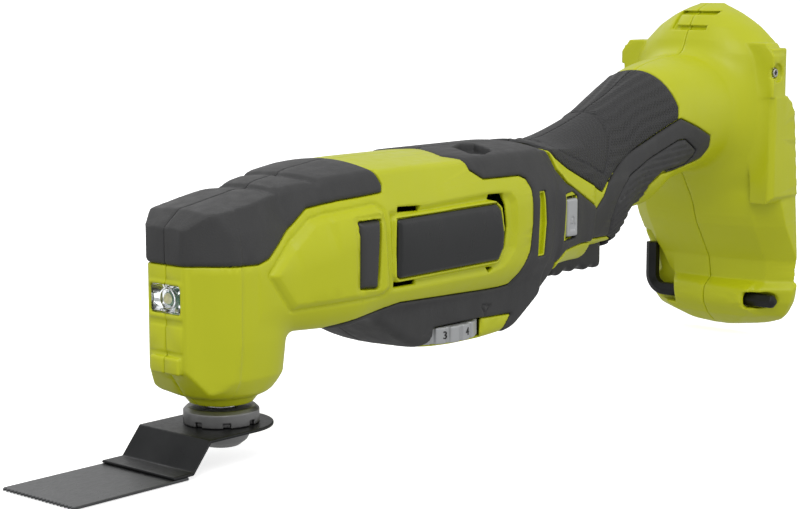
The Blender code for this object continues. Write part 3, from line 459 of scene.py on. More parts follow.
def surface_net(field, low, step):
    """Vertices in millimetres and quads of the surface where a sampled field is zero."""
    inside = field < 0
    last = np.array(inside.shape) - 1
    count = sum(inside[i:last[0] + i, j:last[1] + j, k:last[2] + k].astype(np.int8) for i, j, k in CELL)
    mixed = (count > 0) & (count < 8)
    cells = np.argwhere(mixed)
    index = np.full(mixed.shape, -1, np.int32)
    index[mixed] = np.arange(len(cells))
    total, hits = np.zeros((len(cells), 3)), np.zeros(len(cells))
    for a, b in CELL_EDGES:
        va, vb = (field[tuple((cells + CELL[c]).T)].astype(float) for c in (a, b))
        cross = (va < 0) != (vb < 0)
        t = np.where(cross, va / np.where(cross, va - vb, 1.0), 0.0)
        total += np.where(cross[:, None], CELL[a] + t[:, None] * (CELL[b] - CELL[a]), 0.0)
        hits += cross
    points = np.array(low) + (cells + total / hits[:, None]) * step
    quads = []
    for axis in range(3):
        first = [slice(None)] * 3
        second = [slice(None)] * 3
        first[axis], second[axis] = slice(0, -1), slice(1, None)
        a, b = inside[tuple(first)], inside[tuple(second)]
        u, v = (axis + 1) % 3, (axis + 2) % 3
        for here, flip in ((a & ~b, False), (~a & b, True)):
            at = np.argwhere(here)
            at = at[(at[:, u] > 0) & (at[:, u] < mixed.shape[u])]
            at = at[(at[:, v] > 0) & (at[:, v] < mixed.shape[v])]
            corners = []
            for du, dv in ((1, 1), (0, 1), (0, 0), (1, 0)):
                cell = at.copy()
                cell[:, u] -= du
                cell[:, v] -= dv
                corners.append(index[tuple(cell.T)])
            quads.append(np.stack(corners[::-1] if flip else corners, axis=1))
    return points, np.concatenate(quads)


def pulled(points, shape, reach, delta=0.12):
    """Points moved on to the zero surface of a field by two Newton steps."""
    for _ in range(2):
        value = shape(*points.T)
        slope = np.stack([(shape(*(points + shift).T) - shape(*(points - shift).T)) / (2 * delta)
                          for shift in np.eye(3) * delta], axis=1)
        size = np.maximum((slope ** 2).sum(1), 0.25)
        move = -(value / size)[:, None] * slope
        length = np.linalg.norm(move, axis=1, keepdims=True)
        points = points + move * np.minimum(1.0, reach / np.maximum(length, 1e-9))
    return points


def place(points):
    return np.asarray(points) / 1000 + ORIGIN


def mesh_piece(name, points, faces, look, body, replaces=(), keep=1.0, smooth=True):
    """A finished piece: mesh, fewer faces, smooth shading, material, and its ties to the frame."""
    mesh = bpy.data.meshes.new(name)
    mesh.from_pydata(place(points).tolist(), [], [list(map(int, f)) for f in faces])
    piece = bpy.data.objects.new(name, mesh)
    bpy.context.scene.collection.objects.link(piece)
    if keep < 1.0:
        fewer = piece.modifiers.new("fewer", "DECIMATE")
        fewer.ratio = keep
        bpy.context.view_layer.update()
        reduced = bpy.data.meshes.new_from_object(piece.evaluated_get(bpy.context.evaluated_depsgraph_get()))
        piece.modifiers.clear()
        piece.data = reduced
        bpy.data.meshes.remove(mesh)
        mesh = reduced
        mesh.name = name
    if smooth:
        mesh.shade_smooth()
    dress(piece, look, body, replaces)
    return piece


def dress(piece, look, body, replaces=()):
    piece.data.materials.clear()
    piece.data.materials.append(LOOKS[look])
    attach(piece, body)
    if replaces:
        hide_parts(*replaces)


def carve(name, shape, low, high, step, look, body, slot, replaces=(), keep=0.5):
    """A piece meshed from its field inside a box."""
    axes = [np.arange(a - 1.5 * step, b + 2.5 * step, step) for a, b in zip(low, high)]
    sampled = shape(*spaced(*axes))
    points, quads = surface_net(np.ascontiguousarray(sampled), [a[0] for a in axes], step)
    points = pulled(points, shape, step, 0.2 * step)
    return mesh_piece(name, points, quads, look, body, replaces, keep)


def mirror_piece(piece, name, look, body, replaces):
    twin = bpy.data.objects.new(name, piece.data.copy())
    bpy.context.scene.collection.objects.link(twin)
    middle = ORIGIN[1]
    twin.data.transform(Matrix.Translation((0, middle, 0)) @ Matrix.Diagonal((1, -1, 1, 1))
                        @ Matrix.Translation((0, -middle, 0)))
    twin.data.flip_normals()
    dress(twin, look, body, replaces)


# ---------------------------------------------------------------- materials
def new_look(name):
    look = bpy.data.materials.new(name)
    look.use_nodes = True
    tree = look.node_tree
    shader = tree.nodes["Principled BSDF"]
    where = tree.nodes.new("ShaderNodeTexCoord")
    return look, tree, shader, where


def noise(tree, where, scale, detail=3.0, stretch=None):
    node = tree.nodes.new("ShaderNodeTexNoise")
    node.inputs["Scale"].default_value = scale
    node.inputs["Detail"].default_value = detail
    source = where.outputs["Object"]
    if stretch:
        mapping = tree.nodes.new("ShaderNodeMapping")
        mapping.inputs["Scale"].default_value = stretch
        tree.links.new(source, mapping.inputs["Vector"])
        source = mapping.outputs["Vector"]
    tree.links.new(source, node.inputs["Vector"])
    return node.outputs["Fac"]


def spread(tree, value, low, high, start=0.3, end=0.7):
    node = tree.nodes.new("ShaderNodeMapRange")
    for key, number in (("From Min", start), ("From Max", end), ("To Min", low), ("To Max", high)):
        node.inputs[key].default_value = number
    tree.links.new(value, node.inputs["Value"])
    return node.outputs["Result"]


def mix(tree, factor, one, two):
    node = tree.nodes.new("ShaderNodeMix")
    node.data_type = "RGBA"
    for socket, value in ((0, factor), (6, one), (7, two)):
        if isinstance(value, tuple):
            node.inputs[socket].default_value = (*value, 1.0)
        elif isinstance(value, float):
            node.inputs[socket].default_value = value
        else:
            tree.links.new(value, node.inputs[socket])
    return node.outputs[2]


def combined(tree, operation, one, two):
    node = tree.nodes.new("ShaderNodeMath")
    node.operation = operation
    tree.links.new(one, node.inputs[0])
    tree.links.new(two, node.inputs[1])
    return node.outputs[0]


def relief(tree, shader, *layers):
    """Chained bump from (height, strength, distance in metres) layers."""
    last = None
    for height, strength, distance in layers:
        bump = tree.nodes.new("ShaderNodeBump")
        bump.inputs["Strength"].default_value = strength
        bump.inputs["Distance"].default_value = distance
        tree.links.new(height, bump.inputs["Height"])
        if last:
            tree.links.new(last, bump.inputs["Normal"])
        last = bump.outputs["Normal"]
    tree.links.new(last, shader.inputs["Normal"])


def moulded(name, colour, light, rough, grain, depth, wear=0.0, metallic=0.0):
    """Moulded plastic or rubber: broad tone changes, fine grain, rubbed edges and handling marks."""
    look, tree, shader, where = new_look(name)
    tone = noise(tree, where, 22.0, 4.0)
    fine = noise(tree, where, grain, 2.0)
    scuff = noise(tree, where, 260.0, 6.0, (1.0, 1.0, 0.25))
    base = mix(tree, spread(tree, tone, 0.0, 1.0), colour, light)
    geometry = tree.nodes.new("ShaderNodeNewGeometry")
    rubbed = spread(tree, geometry.outputs["Pointiness"], 0.0, wear, 0.52, 0.62)
    base = mix(tree, rubbed, base, tuple(min(1.0, c * 1.6 + 0.03) for c in light))
    tree.links.new(base, shader.inputs["Base Color"])
    tree.links.new(spread(tree, scuff, rough - 0.05, rough + 0.08), shader.inputs["Roughness"])
    shader.inputs["Metallic"].default_value = metallic
    relief(tree, shader, (fine, depth, 0.0002), (tone, 0.04, 0.002))
    return look


def knurled(name, colour, light, rough, pitch, ridge):
    """Rubber with a fine diamond texture; the long soft ridges that cross it on the grip are in the mesh."""
    look, tree, shader, where = new_look(name)
    fields = []
    for turn in (35.0, -35.0):
        mapping = tree.nodes.new("ShaderNodeMapping")
        mapping.inputs["Rotation"].default_value = (0.0, math.radians(turn), 0.0)
        tree.links.new(where.outputs["Object"], mapping.inputs["Vector"])
        wave = tree.nodes.new("ShaderNodeTexWave")
        wave.inputs["Scale"].default_value = 0.314 / pitch
        tree.links.new(mapping.outputs["Vector"], wave.inputs["Vector"])
        fields.append(wave.outputs["Fac"])
    diamonds = combined(tree, "MULTIPLY", *fields)
    tone = noise(tree, where, 40.0, 4.0)
    base = mix(tree, spread(tree, tone, 0.0, 1.0), colour, light)
    base = mix(tree, spread(tree, diamonds, 0.0, 0.55, 0.1, 0.9), base, tuple(c * 1.7 for c in light))
    tree.links.new(base, shader.inputs["Base Color"])
    tree.links.new(spread(tree, tone, rough - 0.06, rough + 0.08), shader.inputs["Roughness"])
    relief(tree, shader, (diamonds, ridge, 0.0004), (noise(tree, where, 2600.0), 0.1, 0.0001))
    return look


def metal(name, colour, light, rough, brushed=(1.0, 1.0, 1.0), scale=900.0, strength=0.12, metallic=1.0):
    """Worn metal: streaks along one direction, blotches and fine scratches."""
    look, tree, shader, where = new_look(name)
    streak = noise(tree, where, scale, 4.0, brushed)
    blotch = noise(tree, where, 60.0, 5.0)
    base = mix(tree, spread(tree, blotch, 0.0, 1.0), colour, light)
    tree.links.new(base, shader.inputs["Base Color"])
    worn = combined(tree, "ADD", spread(tree, streak, rough - 0.08, rough + 0.08),
                    spread(tree, blotch, -0.04, 0.06))
    tree.links.new(worn, shader.inputs["Roughness"])
    shader.inputs["Metallic"].default_value = metallic
    relief(tree, shader, (streak, strength, 0.00008))
    return look


def clear(name):
    look, tree, shader, where = new_look(name)
    shader.inputs["Base Color"].default_value = (0.95, 0.97, 0.98, 1.0)
    shader.inputs["Transmission Weight"].default_value = 1.0
    shader.inputs["IOR"].default_value = 1.49
    haze = noise(tree, where, 400.0, 4.0)
    tree.links.new(spread(tree, haze, 0.02, 0.09), shader.inputs["Roughness"])
    relief(tree, shader, (haze, 0.03, 0.0002))
    return look


def board_look(name):
    """Green lacquered circuit board with traces."""
    look, tree, shader, where = new_look(name)
    cells = tree.nodes.new("ShaderNodeTexVoronoi")
    cells.distance = "MANHATTAN"
    cells.inputs["Scale"].default_value = 420.0
    tree.links.new(where.outputs["Object"], cells.inputs["Vector"])
    trace = spread(tree, cells.outputs["Distance"], 0.0, 1.0, 0.42, 0.5)
    tree.links.new(mix(tree, trace, (0.012, 0.085, 0.035), (0.03, 0.20, 0.085)), shader.inputs["Base Color"])
    tree.links.new(spread(tree, noise(tree, where, 300.0), 0.28, 0.45), shader.inputs["Roughness"])
    relief(tree, shader, (trace, 0.2, 0.0001))
    return look


LIME, LIME_LIGHT = (0.560, 0.600, 0.004), (0.600, 0.640, 0.007)
DARK, DARK_LIGHT = (0.041, 0.041, 0.042), (0.050, 0.050, 0.051)
LOOKS = {
    "lime": moulded("lime_abs", LIME, LIME_LIGHT, 0.40, 3200.0, 0.10, 0.25),
    "dark": moulded("charcoal_overmould", DARK, DARK_LIGHT, 0.60, 2300.0, 0.45, 0.35),
    "dark_smooth": moulded("charcoal_smooth", (0.039, 0.039, 0.040), (0.047, 0.047, 0.048),
                           0.50, 4200.0, 0.12, 0.3),
    "grip": knurled("charcoal_knurled", (0.028, 0.028, 0.029), (0.038, 0.038, 0.039), 0.58, 0.0011, 0.9),
    "black": moulded("black_nylon", (0.014, 0.014, 0.015), (0.022, 0.022, 0.023), 0.42, 3000.0, 0.2, 0.3),
    "plate": moulded("plate_satin", (0.013, 0.014, 0.015), (0.018, 0.019, 0.020), 0.30, 4200.0, 0.08, 0.3),
    "silver": moulded("silver_paint", (0.46, 0.47, 0.48), (0.56, 0.57, 0.58), 0.34, 3600.0, 0.12, 0.2,
                      metallic=0.35),
    "clear": clear("clear_lens"),
    "chrome": metal("reflector_chrome", (0.78, 0.79, 0.80), (0.9, 0.9, 0.91), 0.10, strength=0.03),
    "steel": metal("bright_steel", (0.50, 0.50, 0.51), (0.62, 0.62, 0.63), 0.26, (1.0, 1.0, 8.0)),
    "grey_steel": metal("grey_steel", (0.20, 0.20, 0.20), (0.30, 0.30, 0.30), 0.40, (1.0, 1.0, 6.0),
                        strength=0.25),
    "black_steel": metal("black_oxide_steel", (0.020, 0.021, 0.022), (0.034, 0.035, 0.036), 0.38,
                         (6.0, 0.6, 1.0), 700.0, 0.18, 0.75),
    "blade": metal("blued_blade", (0.075, 0.077, 0.080), (0.105, 0.107, 0.110), 0.34,
                   (0.6, 6.0, 1.0), 700.0, 0.2, 0.8),
    "cast": metal("cast_metal", (0.36, 0.37, 0.38), (0.46, 0.47, 0.48), 0.5, scale=1500.0, strength=0.5),
    "copper": metal("enamelled_copper", (0.62, 0.26, 0.12), (0.76, 0.38, 0.19), 0.30,
                    (1.0, 14.0, 14.0), 500.0, 0.5),
    "brass": metal("brass", (0.66, 0.50, 0.20), (0.78, 0.62, 0.30), 0.28, strength=0.2),
    "board": board_look("circuit_board"),
    "carbon": moulded("carbon", (0.03, 0.03, 0.033), (0.05, 0.05, 0.053), 0.55, 2500.0, 0.5),
    "red": moulded("red_insulation", (0.42, 0.018, 0.016), (0.50, 0.03, 0.025), 0.42, 2500.0, 0.1),
    "wire_black": moulded("black_insulation", (0.016, 0.016, 0.017), (0.025, 0.025, 0.026),
                          0.45, 2500.0, 0.1),
    "print": moulded("black_print", (0.010, 0.010, 0.011), (0.014, 0.014, 0.015), 0.5, 3000.0, 0.1),
    "lit": moulded("led_chip", (0.85, 0.80, 0.42), (0.92, 0.88, 0.5), 0.3, 2500.0, 0.1),
}
CARRIED = {
    "cast": ("gear_case",), "black": ("motor_end_cap", "battery_terminal_block", "dust_seal", "cooling_fan",
                                      "switch_module"),
    "steel": ("spindle_bearing_lower", "spindle_bearing_upper", "motor_bearing_front", "motor_bearing_rear",
              "motor_shaft", "eccentric_bearing", "trigger_spring"),
    "grey_steel": ("oscillating_fork", "motor_can", "housing_screw_1", "housing_screw_2", "housing_screw_3",
                   "housing_screw_4", "clamp_washer"),
    "copper": ("armature_core", "commutator"), "carbon": ("carbon_brush_left", "carbon_brush_right"),
    "brass": ("terminal_blade_plus", "terminal_blade_minus", "terminal_blade_sense"),
    "board": ("led_board", "control_board", "dial_board"), "red": ("motor_lead_red",),
    "wire_black": ("motor_lead_black",),
}


def carry_over():
    """Every CAD node that stays in view gets a procedural finish."""
    for look, nodes in CARRIED.items():
        for node in nodes:
            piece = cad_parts[node]
            piece.data.materials.clear()
            piece.data.materials.append(LOOKS[look])


# ---------------------------------------------------------------- housing and skins
def spaced(along_x, along_y, along_z):
    """Three axes shaped so that they span a grid."""
    return along_x[:, None, None], along_y[None, :, None], along_z[None, None, :]


def sample_tool():
    """The tool's outside as a normalised distance on a grid over its near half."""
    low, high = (-25.0, -38.0, -9.5), (REAR + 1.0, 1.2, 126.5)
    axes = [np.arange(a, b, FINE) for a, b in zip(low, high)]
    raw = np.empty([len(a) for a in axes], np.float32)
    for start in range(0, len(axes[0]), 64):
        part = axes[0][start:start + 64]
        raw[start:start + 64] = outer_form(*spaced(part, axes[1], axes[2]))
    size = np.sqrt(sum(g * g for g in np.gradient(raw, FINE)))
    scale = (1.0 / np.clip(size, 0.3, 3.0)).astype(np.float32)
    return axes, raw * scale, scale, np.array(low)


AXES, TOOL, SCALE, TOOL_LOW = sample_tool()


def distance_at(x, y, z):
    """The same normalised distance at free points; only the slope is read from the grid."""
    at = (np.stack(np.broadcast_arrays(x, y, z)) - TOOL_LOW[:, None]) / FINE
    top = np.array(SCALE.shape)[:, None] - 1.001
    at = np.clip(at, 0.0, top)
    base = at.astype(np.int32)
    part = at - base
    scale = 0.0
    for i, j, k in CELL:
        weight = 1.0
        for axis, corner in enumerate((i, j, k)):
            weight = weight * (part[axis] if corner else 1.0 - part[axis])
        scale = scale + weight * SCALE[base[0] + i, base[1] + j, base[2] + k]
    return outer_form(x, y, z) * scale


def distance_anywhere(x, y, z):
    """distance_at() for a grid of points as well as for a list."""
    full = np.broadcast_arrays(x, y, z)
    return distance_at(*(f.ravel() for f in full)).reshape(full[0].shape)


def sides_only(y):
    """0 near the middle plane, 1 on the flanks."""
    return np.clip((np.abs(y) - 12.0) / 5.0, 0.0, 1.0)


def housing_surface(d, x, y, z):
    side = sides_only(y)
    panel, tray, plate = PANEL(x, z), TRAY(x, z), PLATE(x, z)
    shift = 1.3 * np.clip(-panel / 2.0, 0.0, 1.0) * side
    shift = shift - 0.5 * groove(panel, 0.55, 0.2) * side
    shift = shift - 1.5 * np.clip(-tray / 2.2, 0.0, 1.0) * side
    shift = shift + 1.6 * step_in(plate - 1.5, 0.8) * side
    shift = shift - 0.5 * groove(STRIP(x, z), 0.7, 0.9) * side
    return d - shift


def housing_shape(far_half):
    def shape(d, x, y, z):
        skin = housing_surface(d, x, y, z)
        pocket = 0.0 if far_half else 3.4 * step_in(TOP_POCKET(x, y) - 2.5, 0.5) * (z > 66)
        hollow = d + WALL + pocket + np.where(x > 258, 0.4, 0.0) + np.where((x > 240) & (z > 105), 2.0, 0.0)
        key_walls = np.abs(y) - np.minimum(17.5, KEY_MOUTH(z) - 2.0)
        hollow = np.maximum(hollow, np.where((x > 250) & (z < 31), key_walls, -9.0))
        wall = blend_max(skin, -hollow, 0.3)
        wall = blend_max(wall, x - rim(z), 0.5)
        for zone, depth in ((COVER(x, z), SKIN), (saddle_zone(x, y, z), SKIN + pocket),
                            (UPPER(x, z), SKIN), (STRIP(x, z), 1.0)):
            wall = blend_max(wall, np.minimum(SEAM - zone, d + depth + 0.2), 0.35)
        wall = blend_max(wall, np.minimum(SEAM - side_zone(PLATE, TRIM)(x, y, z), d + 1.0), 0.35)
        for room in (lamp_room, dial_room, trigger_room, lock_room, key_room, screw_room):
            wall = blend_max(wall, -room(x, y, z), 0.35)
        grooves = np.maximum(top_grooves(y, z, far_half), -(d + 1.6))
        wall = blend_max(wall, -np.maximum(grooves, 240 - x), 0.6)
        for hole in VENTS + [CRESCENT]:
            wall = blend_max(wall, -side_zone(hole, SIDE)(x, y, z), 0.3)
        wall = blend_max(wall, -np.maximum(np.hypot(x, y) - 8.6, z - 16), 0.3)
        if far_half:
            recess = block(x, y, z, (262, -60, KEY_LOW[2] - 1.4), (281.4, -13.0, 29.4), 0.5)
            wall = blend_max(wall, -np.maximum(recess, (KEY_MOUTH(z) - np.abs(y)) * 0.75), 0.3)
        return blend_max(wall, y + 0.12, 0.45)
    return shape


def skin_shape(zone_of, raised, depth=SKIN, relief_of=None, rooms=(), cut=None, pocket=False):
    """An overmould: `raised` above the form, down to `depth` in it, inside its zone and outside `cut`;
    `pocket` thickens it below the walls of the pocket on top."""
    def shape(d, x, y, z):
        zone = zone_of(x, y, z)
        lift = relief_of(x, y, z) if relief_of else 0.0
        under = np.minimum(lift, 0.0)
        if pocket:
            under = np.minimum(under, -POCKET_DEPTH * step_in(TOP_POCKET(x, y) - 1.7, 0.6) * (z > 70))
        skin = blend_max(d - raised * step_in(zone, 1.6) - lift, zone + SEAM, SKIN_EDGE)
        skin = blend_max(skin, -(d + depth - under), 0.2)
        if cut:
            skin = blend_max(skin, cut(x, y, z) + SEAM, 0.4)
        for room in rooms:
            skin = blend_max(skin, -room(x, y, z), 0.35)
        return blend_max(skin, y + 0.10, 0.35)
    return shape


def saddle_relief(with_pocket):
    """Steps behind the saddle's hump, the side slot and the button's surround, and the pocket on top."""
    def lift(x, y, z):
        side = sides_only(y)
        behind = ramp(x - STEP_EDGE(z), 0.0, 2.2) * (1.0 - ramp(x, 190.0, 200.0))
        rise = ramp(x, 139.5, 142.5) * (1.0 - ramp(z, 60.0, 64.0))
        total = -0.9 * behind * (1.0 - rise)
        total = total - 0.7 * groove(DIAL_POINTER(x, z), 0.45) * side
        total = total - 0.5 * step_in(LOCK_BEZEL(x, z), 0.6) * side
        if with_pocket:
            total = total - POCKET_DEPTH * step_in(TOP_POCKET(x, y), 0.8) * (z > 70)
        return total
    return lift


def upper_relief(x, y, z):
    """A smooth front patch, then long soft ridges that run along the grip."""
    patch = SMOOTH_PATCH(x, z)
    middle = (GRIP_TOP(x) + GRIP_LOW(x)) / 2
    around = np.arctan2(z - middle, np.abs(y) + 0.01) * 19.0 + 0.14 * x
    ribbed = (1.0 - step_in(patch - 1.4, 1.0)) * step_in(UPPER(x, z) + 1.6, 1.2) * (x > 150)
    return -0.5 * groove(patch, 0.42) + 0.45 * (0.5 + 0.5 * np.cos(around * 2 * math.pi / 3.5)) * ribbed


def lower_relief(x, y, z):
    """Ribs across the lower panel, each like the edge of a scale."""
    along = z - 0.10 * x + 0.012 * np.maximum(204.0 - x, 0.0) ** 2
    phase = (along / 2.4) % 1.0
    scale = np.minimum(phase / 0.72, (1.0 - phase) / 0.28)
    return 0.62 * scale * step_in(LOWER(x, z) + 0.5, 1.0) - 0.3


def plate_relief(x, y, z):
    """The name plate is slightly crowned."""
    return 0.6 * np.cos(np.clip((z - 50.2) / 11.0, -1, 1) * 1.5)


def build_shells():
    axes, grid, low = AXES, TOOL, TOOL_LOW
    x, y, z = spaced(*axes)

    def shell(name, shape, box, look, slot, twin, keep):
        part = tuple(slice(max(0, int((a - o) / FINE) - 2), int((b - o) / FINE) + 3)
                     for a, b, o in zip(box[0], box[1], low))
        inner = shape(grid[part], x[part[0]], y[:, part[1]], z[:, :, part[2]])
        start = [axes[i][part[i].start] for i in range(3)]
        points, quads = surface_net(inner, start, FINE)
        points = pulled(points, lambda a, b, c: shape(distance_at(a, b, c), a, b, c), 0.4)
        piece = mesh_piece(name, points, quads, look, "housing", (node_of(name),), keep)
        if twin:
            other = name.replace("left", "right")
            mirror_piece(piece, other, look, "housing", (node_of(other),))
        return piece

    def far_side(piece):
        piece.data.transform(Matrix.Diagonal((1, -1, 1, 1)))
        piece.data.flip_normals()

    whole = ((-25, -38, -9.4), (REAR + 0.8, 1.0, 126))
    shell("housing_left_shell", housing_shape(False), whole, "lime", "lime_housing", False, 0.20)
    far_side(shell("housing_right_shell", housing_shape(True), whole, "lime", "lime_housing", False, 0.20))
    shell("head_cover_left_skin", skin_shape(side_zone(COVER), 0.5), ((-25, -30, 46), (56, 1, 84)), "dark",
          "soft_overmould", True, 0.30)
    saddle_rooms = (dial_room, trigger_room, lock_room, side_zone(STRIPE_SLOT, TRIM), bezel_room)
    saddle_box = ((24, -34, 6), (246, 1, 86))
    for hand, near in (("left", True), ("right", False)):
        saddle = skin_shape(saddle_zone, RAISED, relief_of=saddle_relief(near), rooms=saddle_rooms,
                            cut=lambda a, b, c: -LOWER(a, c), pocket=near)
        piece = shell(f"body_grip_{hand}_skin", saddle, saddle_box, "dark", "soft_overmould", False, 0.24)
        if not near:
            far_side(piece)
    shell("handle_grip_upper_left_skin", skin_shape(side_zone(UPPER), RAISED, relief_of=upper_relief),
          ((134, -32, 50), (228, 1, 108)), "grip", "grip_overmould", True, 0.40)
    shell("handle_grip_lower_left_skin",
          skin_shape(saddle_zone, RAISED, relief_of=lower_relief, rooms=(trigger_room,),
                     cut=side_zone(LOWER)),
          ((178, -34, 20), (238, 1, 80)), "dark", "soft_overmould", True, 0.40)
    shell("side_strip_left_skin", skin_shape(side_zone(STRIP, SIDE), 1.3, 0.9),
          ((30, -33, 34), (48, -12, 64)), "dark_smooth", "soft_overmould", True, 0.4)
    shell("name_plate_left_skin", skin_shape(side_zone(PLATE, SIDE), 0.6, 0.9, relief_of=plate_relief),
          ((46, -34, 36), (110, -12, 64)), "plate", "name_plate", True, 0.3)


def node_of(piece_name):
    return piece_name.rsplit("_", 1)[0]


# ---------------------------------------------------------------- spindle and blade
def build_spindle():
    flange_r = (FLANGE_HIGH.x - FLANGE_LOW.x) * 500
    flange = outline([
        (4.3, 0.05), (flange_r, 0.05), (flange_r, 4.1), (flange_r - 1.1, 5.2), (5.5, 5.2), (5.5, 4.0),
        (4.3, 4.0)
    ], 0.25)

    def flange_shape(x, y, z):
        notch = block(*spokes(x, y, 10.0), z, (flange_r - 1.3, -1.15, -2.0), (flange_r + 4.0, 1.15, 1.6), 0.3)
        return blend_max(flange(np.hypot(x, y), z), -notch, 0.2)
    carve("tool_flange_ground", flange_shape, (-12, -12, 0), (12, 12, 5.3), 0.25, "grey_steel",
          "spindle", "grey_steel", ("tool_flange",))
    shaft = outline([
        (0, -0.6), (3.9, -0.6), (3.9, 4.2), (5.15, 4.2), (5.15, 5.6), (4.85, 5.9), (4.85, 6.7), (5.15, 7),
        (5.15, 62), (0, 62)
    ], 0.0)
    bore = outline([(-1, -3), (3.25, -3), (3.25, 16), (-1, 16)])

    def shaft_shape(x, y, z):
        return np.maximum(shaft(np.hypot(x, y), z), -bore(np.hypot(x, y), z))
    carve("spindle_shaft_ground", shaft_shape, (-5.4, -5.4, -1), (5.4, 5.4, 62.2), 0.35, "steel",
          "spindle", "bright_steel", ("spindle_shaft",), 0.3)


def blade_section(x):
    """Height of the blade's upper face along its length."""
    return np.interp(x, [-34.1, -26.3, -19.2, 20.0], [-8.4, -8.4, -0.03, -0.03])


def build_blade():
    low, high = node_box("blade_plate")
    half = (high[1] - low[1]) / 2

    def bracket(x, y, z):
        slope = np.where((x > -26.3) & (x < -19.2), 0.65, 1.0)
        plate = (np.abs(z - blade_section(x) + 0.49) - 0.47) * slope
        plan = np.where(x > 0, np.hypot(x, y) - half, np.abs(y) - half)
        plan = np.maximum(plan, -34.1 - x)
        seat = 4.4 - np.hypot(x, y)
        along, across = spokes(x, y, 22.5)
        pins = 1.2 - np.hypot(along - 8.6, across)
        return blend_max(blend_max(plate, plan, 0.3), np.maximum(seat, pins), 0.2)
    carve("blade_bracket_pressed", bracket, (-34.2, -half, -9.5), (16, half, 0.1), 0.3, "black_steel",
          "clamp", "black_steel", ("blade_bracket",), 0.25)
    pitch = 1.6

    def cutter(x, y, z):
        tooth = np.abs(((y + half) / pitch) % 1.0 - 0.5) * 2.0
        edge = BLADE_TIP + 0.05 + 1.0 * tooth
        plan = np.maximum(np.maximum(np.abs(y) - half, x + 28.3), (edge - x) * 0.6)
        body = np.abs(z - (low[2] + high[2]) / 2) - (high[2] - low[2]) / 2 + 0.02
        return blend_max(plan, body, 0.15)
    carve("blade_plate_ground", cutter, (BLADE_TIP, -half, low[2]), (-28, half, high[2]), 0.22, "blade",
          "clamp", "black_steel", ("blade_plate",), 0.25)
    head = outline([
        (0, -6.9), (3.2, -7.5), (5.6, -7.1), (7.9, -5.3), (9.2, -2.9), (9.2, -2.45), (2.85, -2.45),
        (2.85, 14.4), (2.3, 15.2), (0, 15.2)
    ], 0.15)

    def bolt(x, y, z):
        socket = np.maximum(hexagon(x, y, 2.5), z + 4.4)
        thread = 0.14 * np.sin(z * 2 * math.pi / 1.0 + np.arctan2(y, x)) * (z > -1.0)
        return blend_max(head(np.hypot(x, y), z) + thread, -socket, 0.2)
    carve("clamp_bolt_turned", bolt, (-9.4, -9.4, -7.7), (9.4, 9.4, 15.4), 0.28, "grey_steel",
          "clamp", "grey_steel", ("clamp_bolt",), 0.5)


# ---------------------------------------------------------------- lamp
def build_lamp():
    low, high = node_box("led_lens")
    middle = (low[2] + high[2]) / 2

    def lens(x, y, z):
        body = block(x, y, z, low + 0.1, high - 0.1, 0.8)
        dish = np.hypot(y, z - middle)
        hollow = np.maximum(dish - 3.1, low[0] + 1.3 + 0.06 * dish ** 2 - x)
        return blend_max(body, -hollow, 0.3)
    carve("led_lens_clear", lens, low, high, 0.25, "clear", "housing", "clear_lens", ("led_lens",), 0.4)

    def bowl(x, y, z):
        r = np.hypot(y * 0.74, z - middle)
        cup = x - (high[0] + 1.3 - 0.10 * r * r)
        sheet = np.abs(cup) * 0.75 - 0.28
        edge = np.maximum(np.abs(y) - 6.2, np.abs(z - middle) - 4.0)
        return np.maximum(np.maximum(sheet, edge), 1.5 - r)
    chip_x = node_box("led_board")[0][0] + 0.4
    carve("led_chip_lit", lambda x, y, z: np.sqrt((x - chip_x) ** 2 + y * y + (z - middle) ** 2) - 1.9,
          (chip_x - 2.0, -2.0, middle - 2.0), (chip_x + 2.0, 2.0, middle + 2.0), 0.25, "lit",
          "housing", "clear_lens", (), 0.4)
    carve("led_reflector", bowl, (high[0] - 2.4, -6.3, middle - 4.2), (high[0] + 1.8, 6.3, middle + 4.2),
          0.25, "chrome", "housing", "bright_steel", (), 0.5)


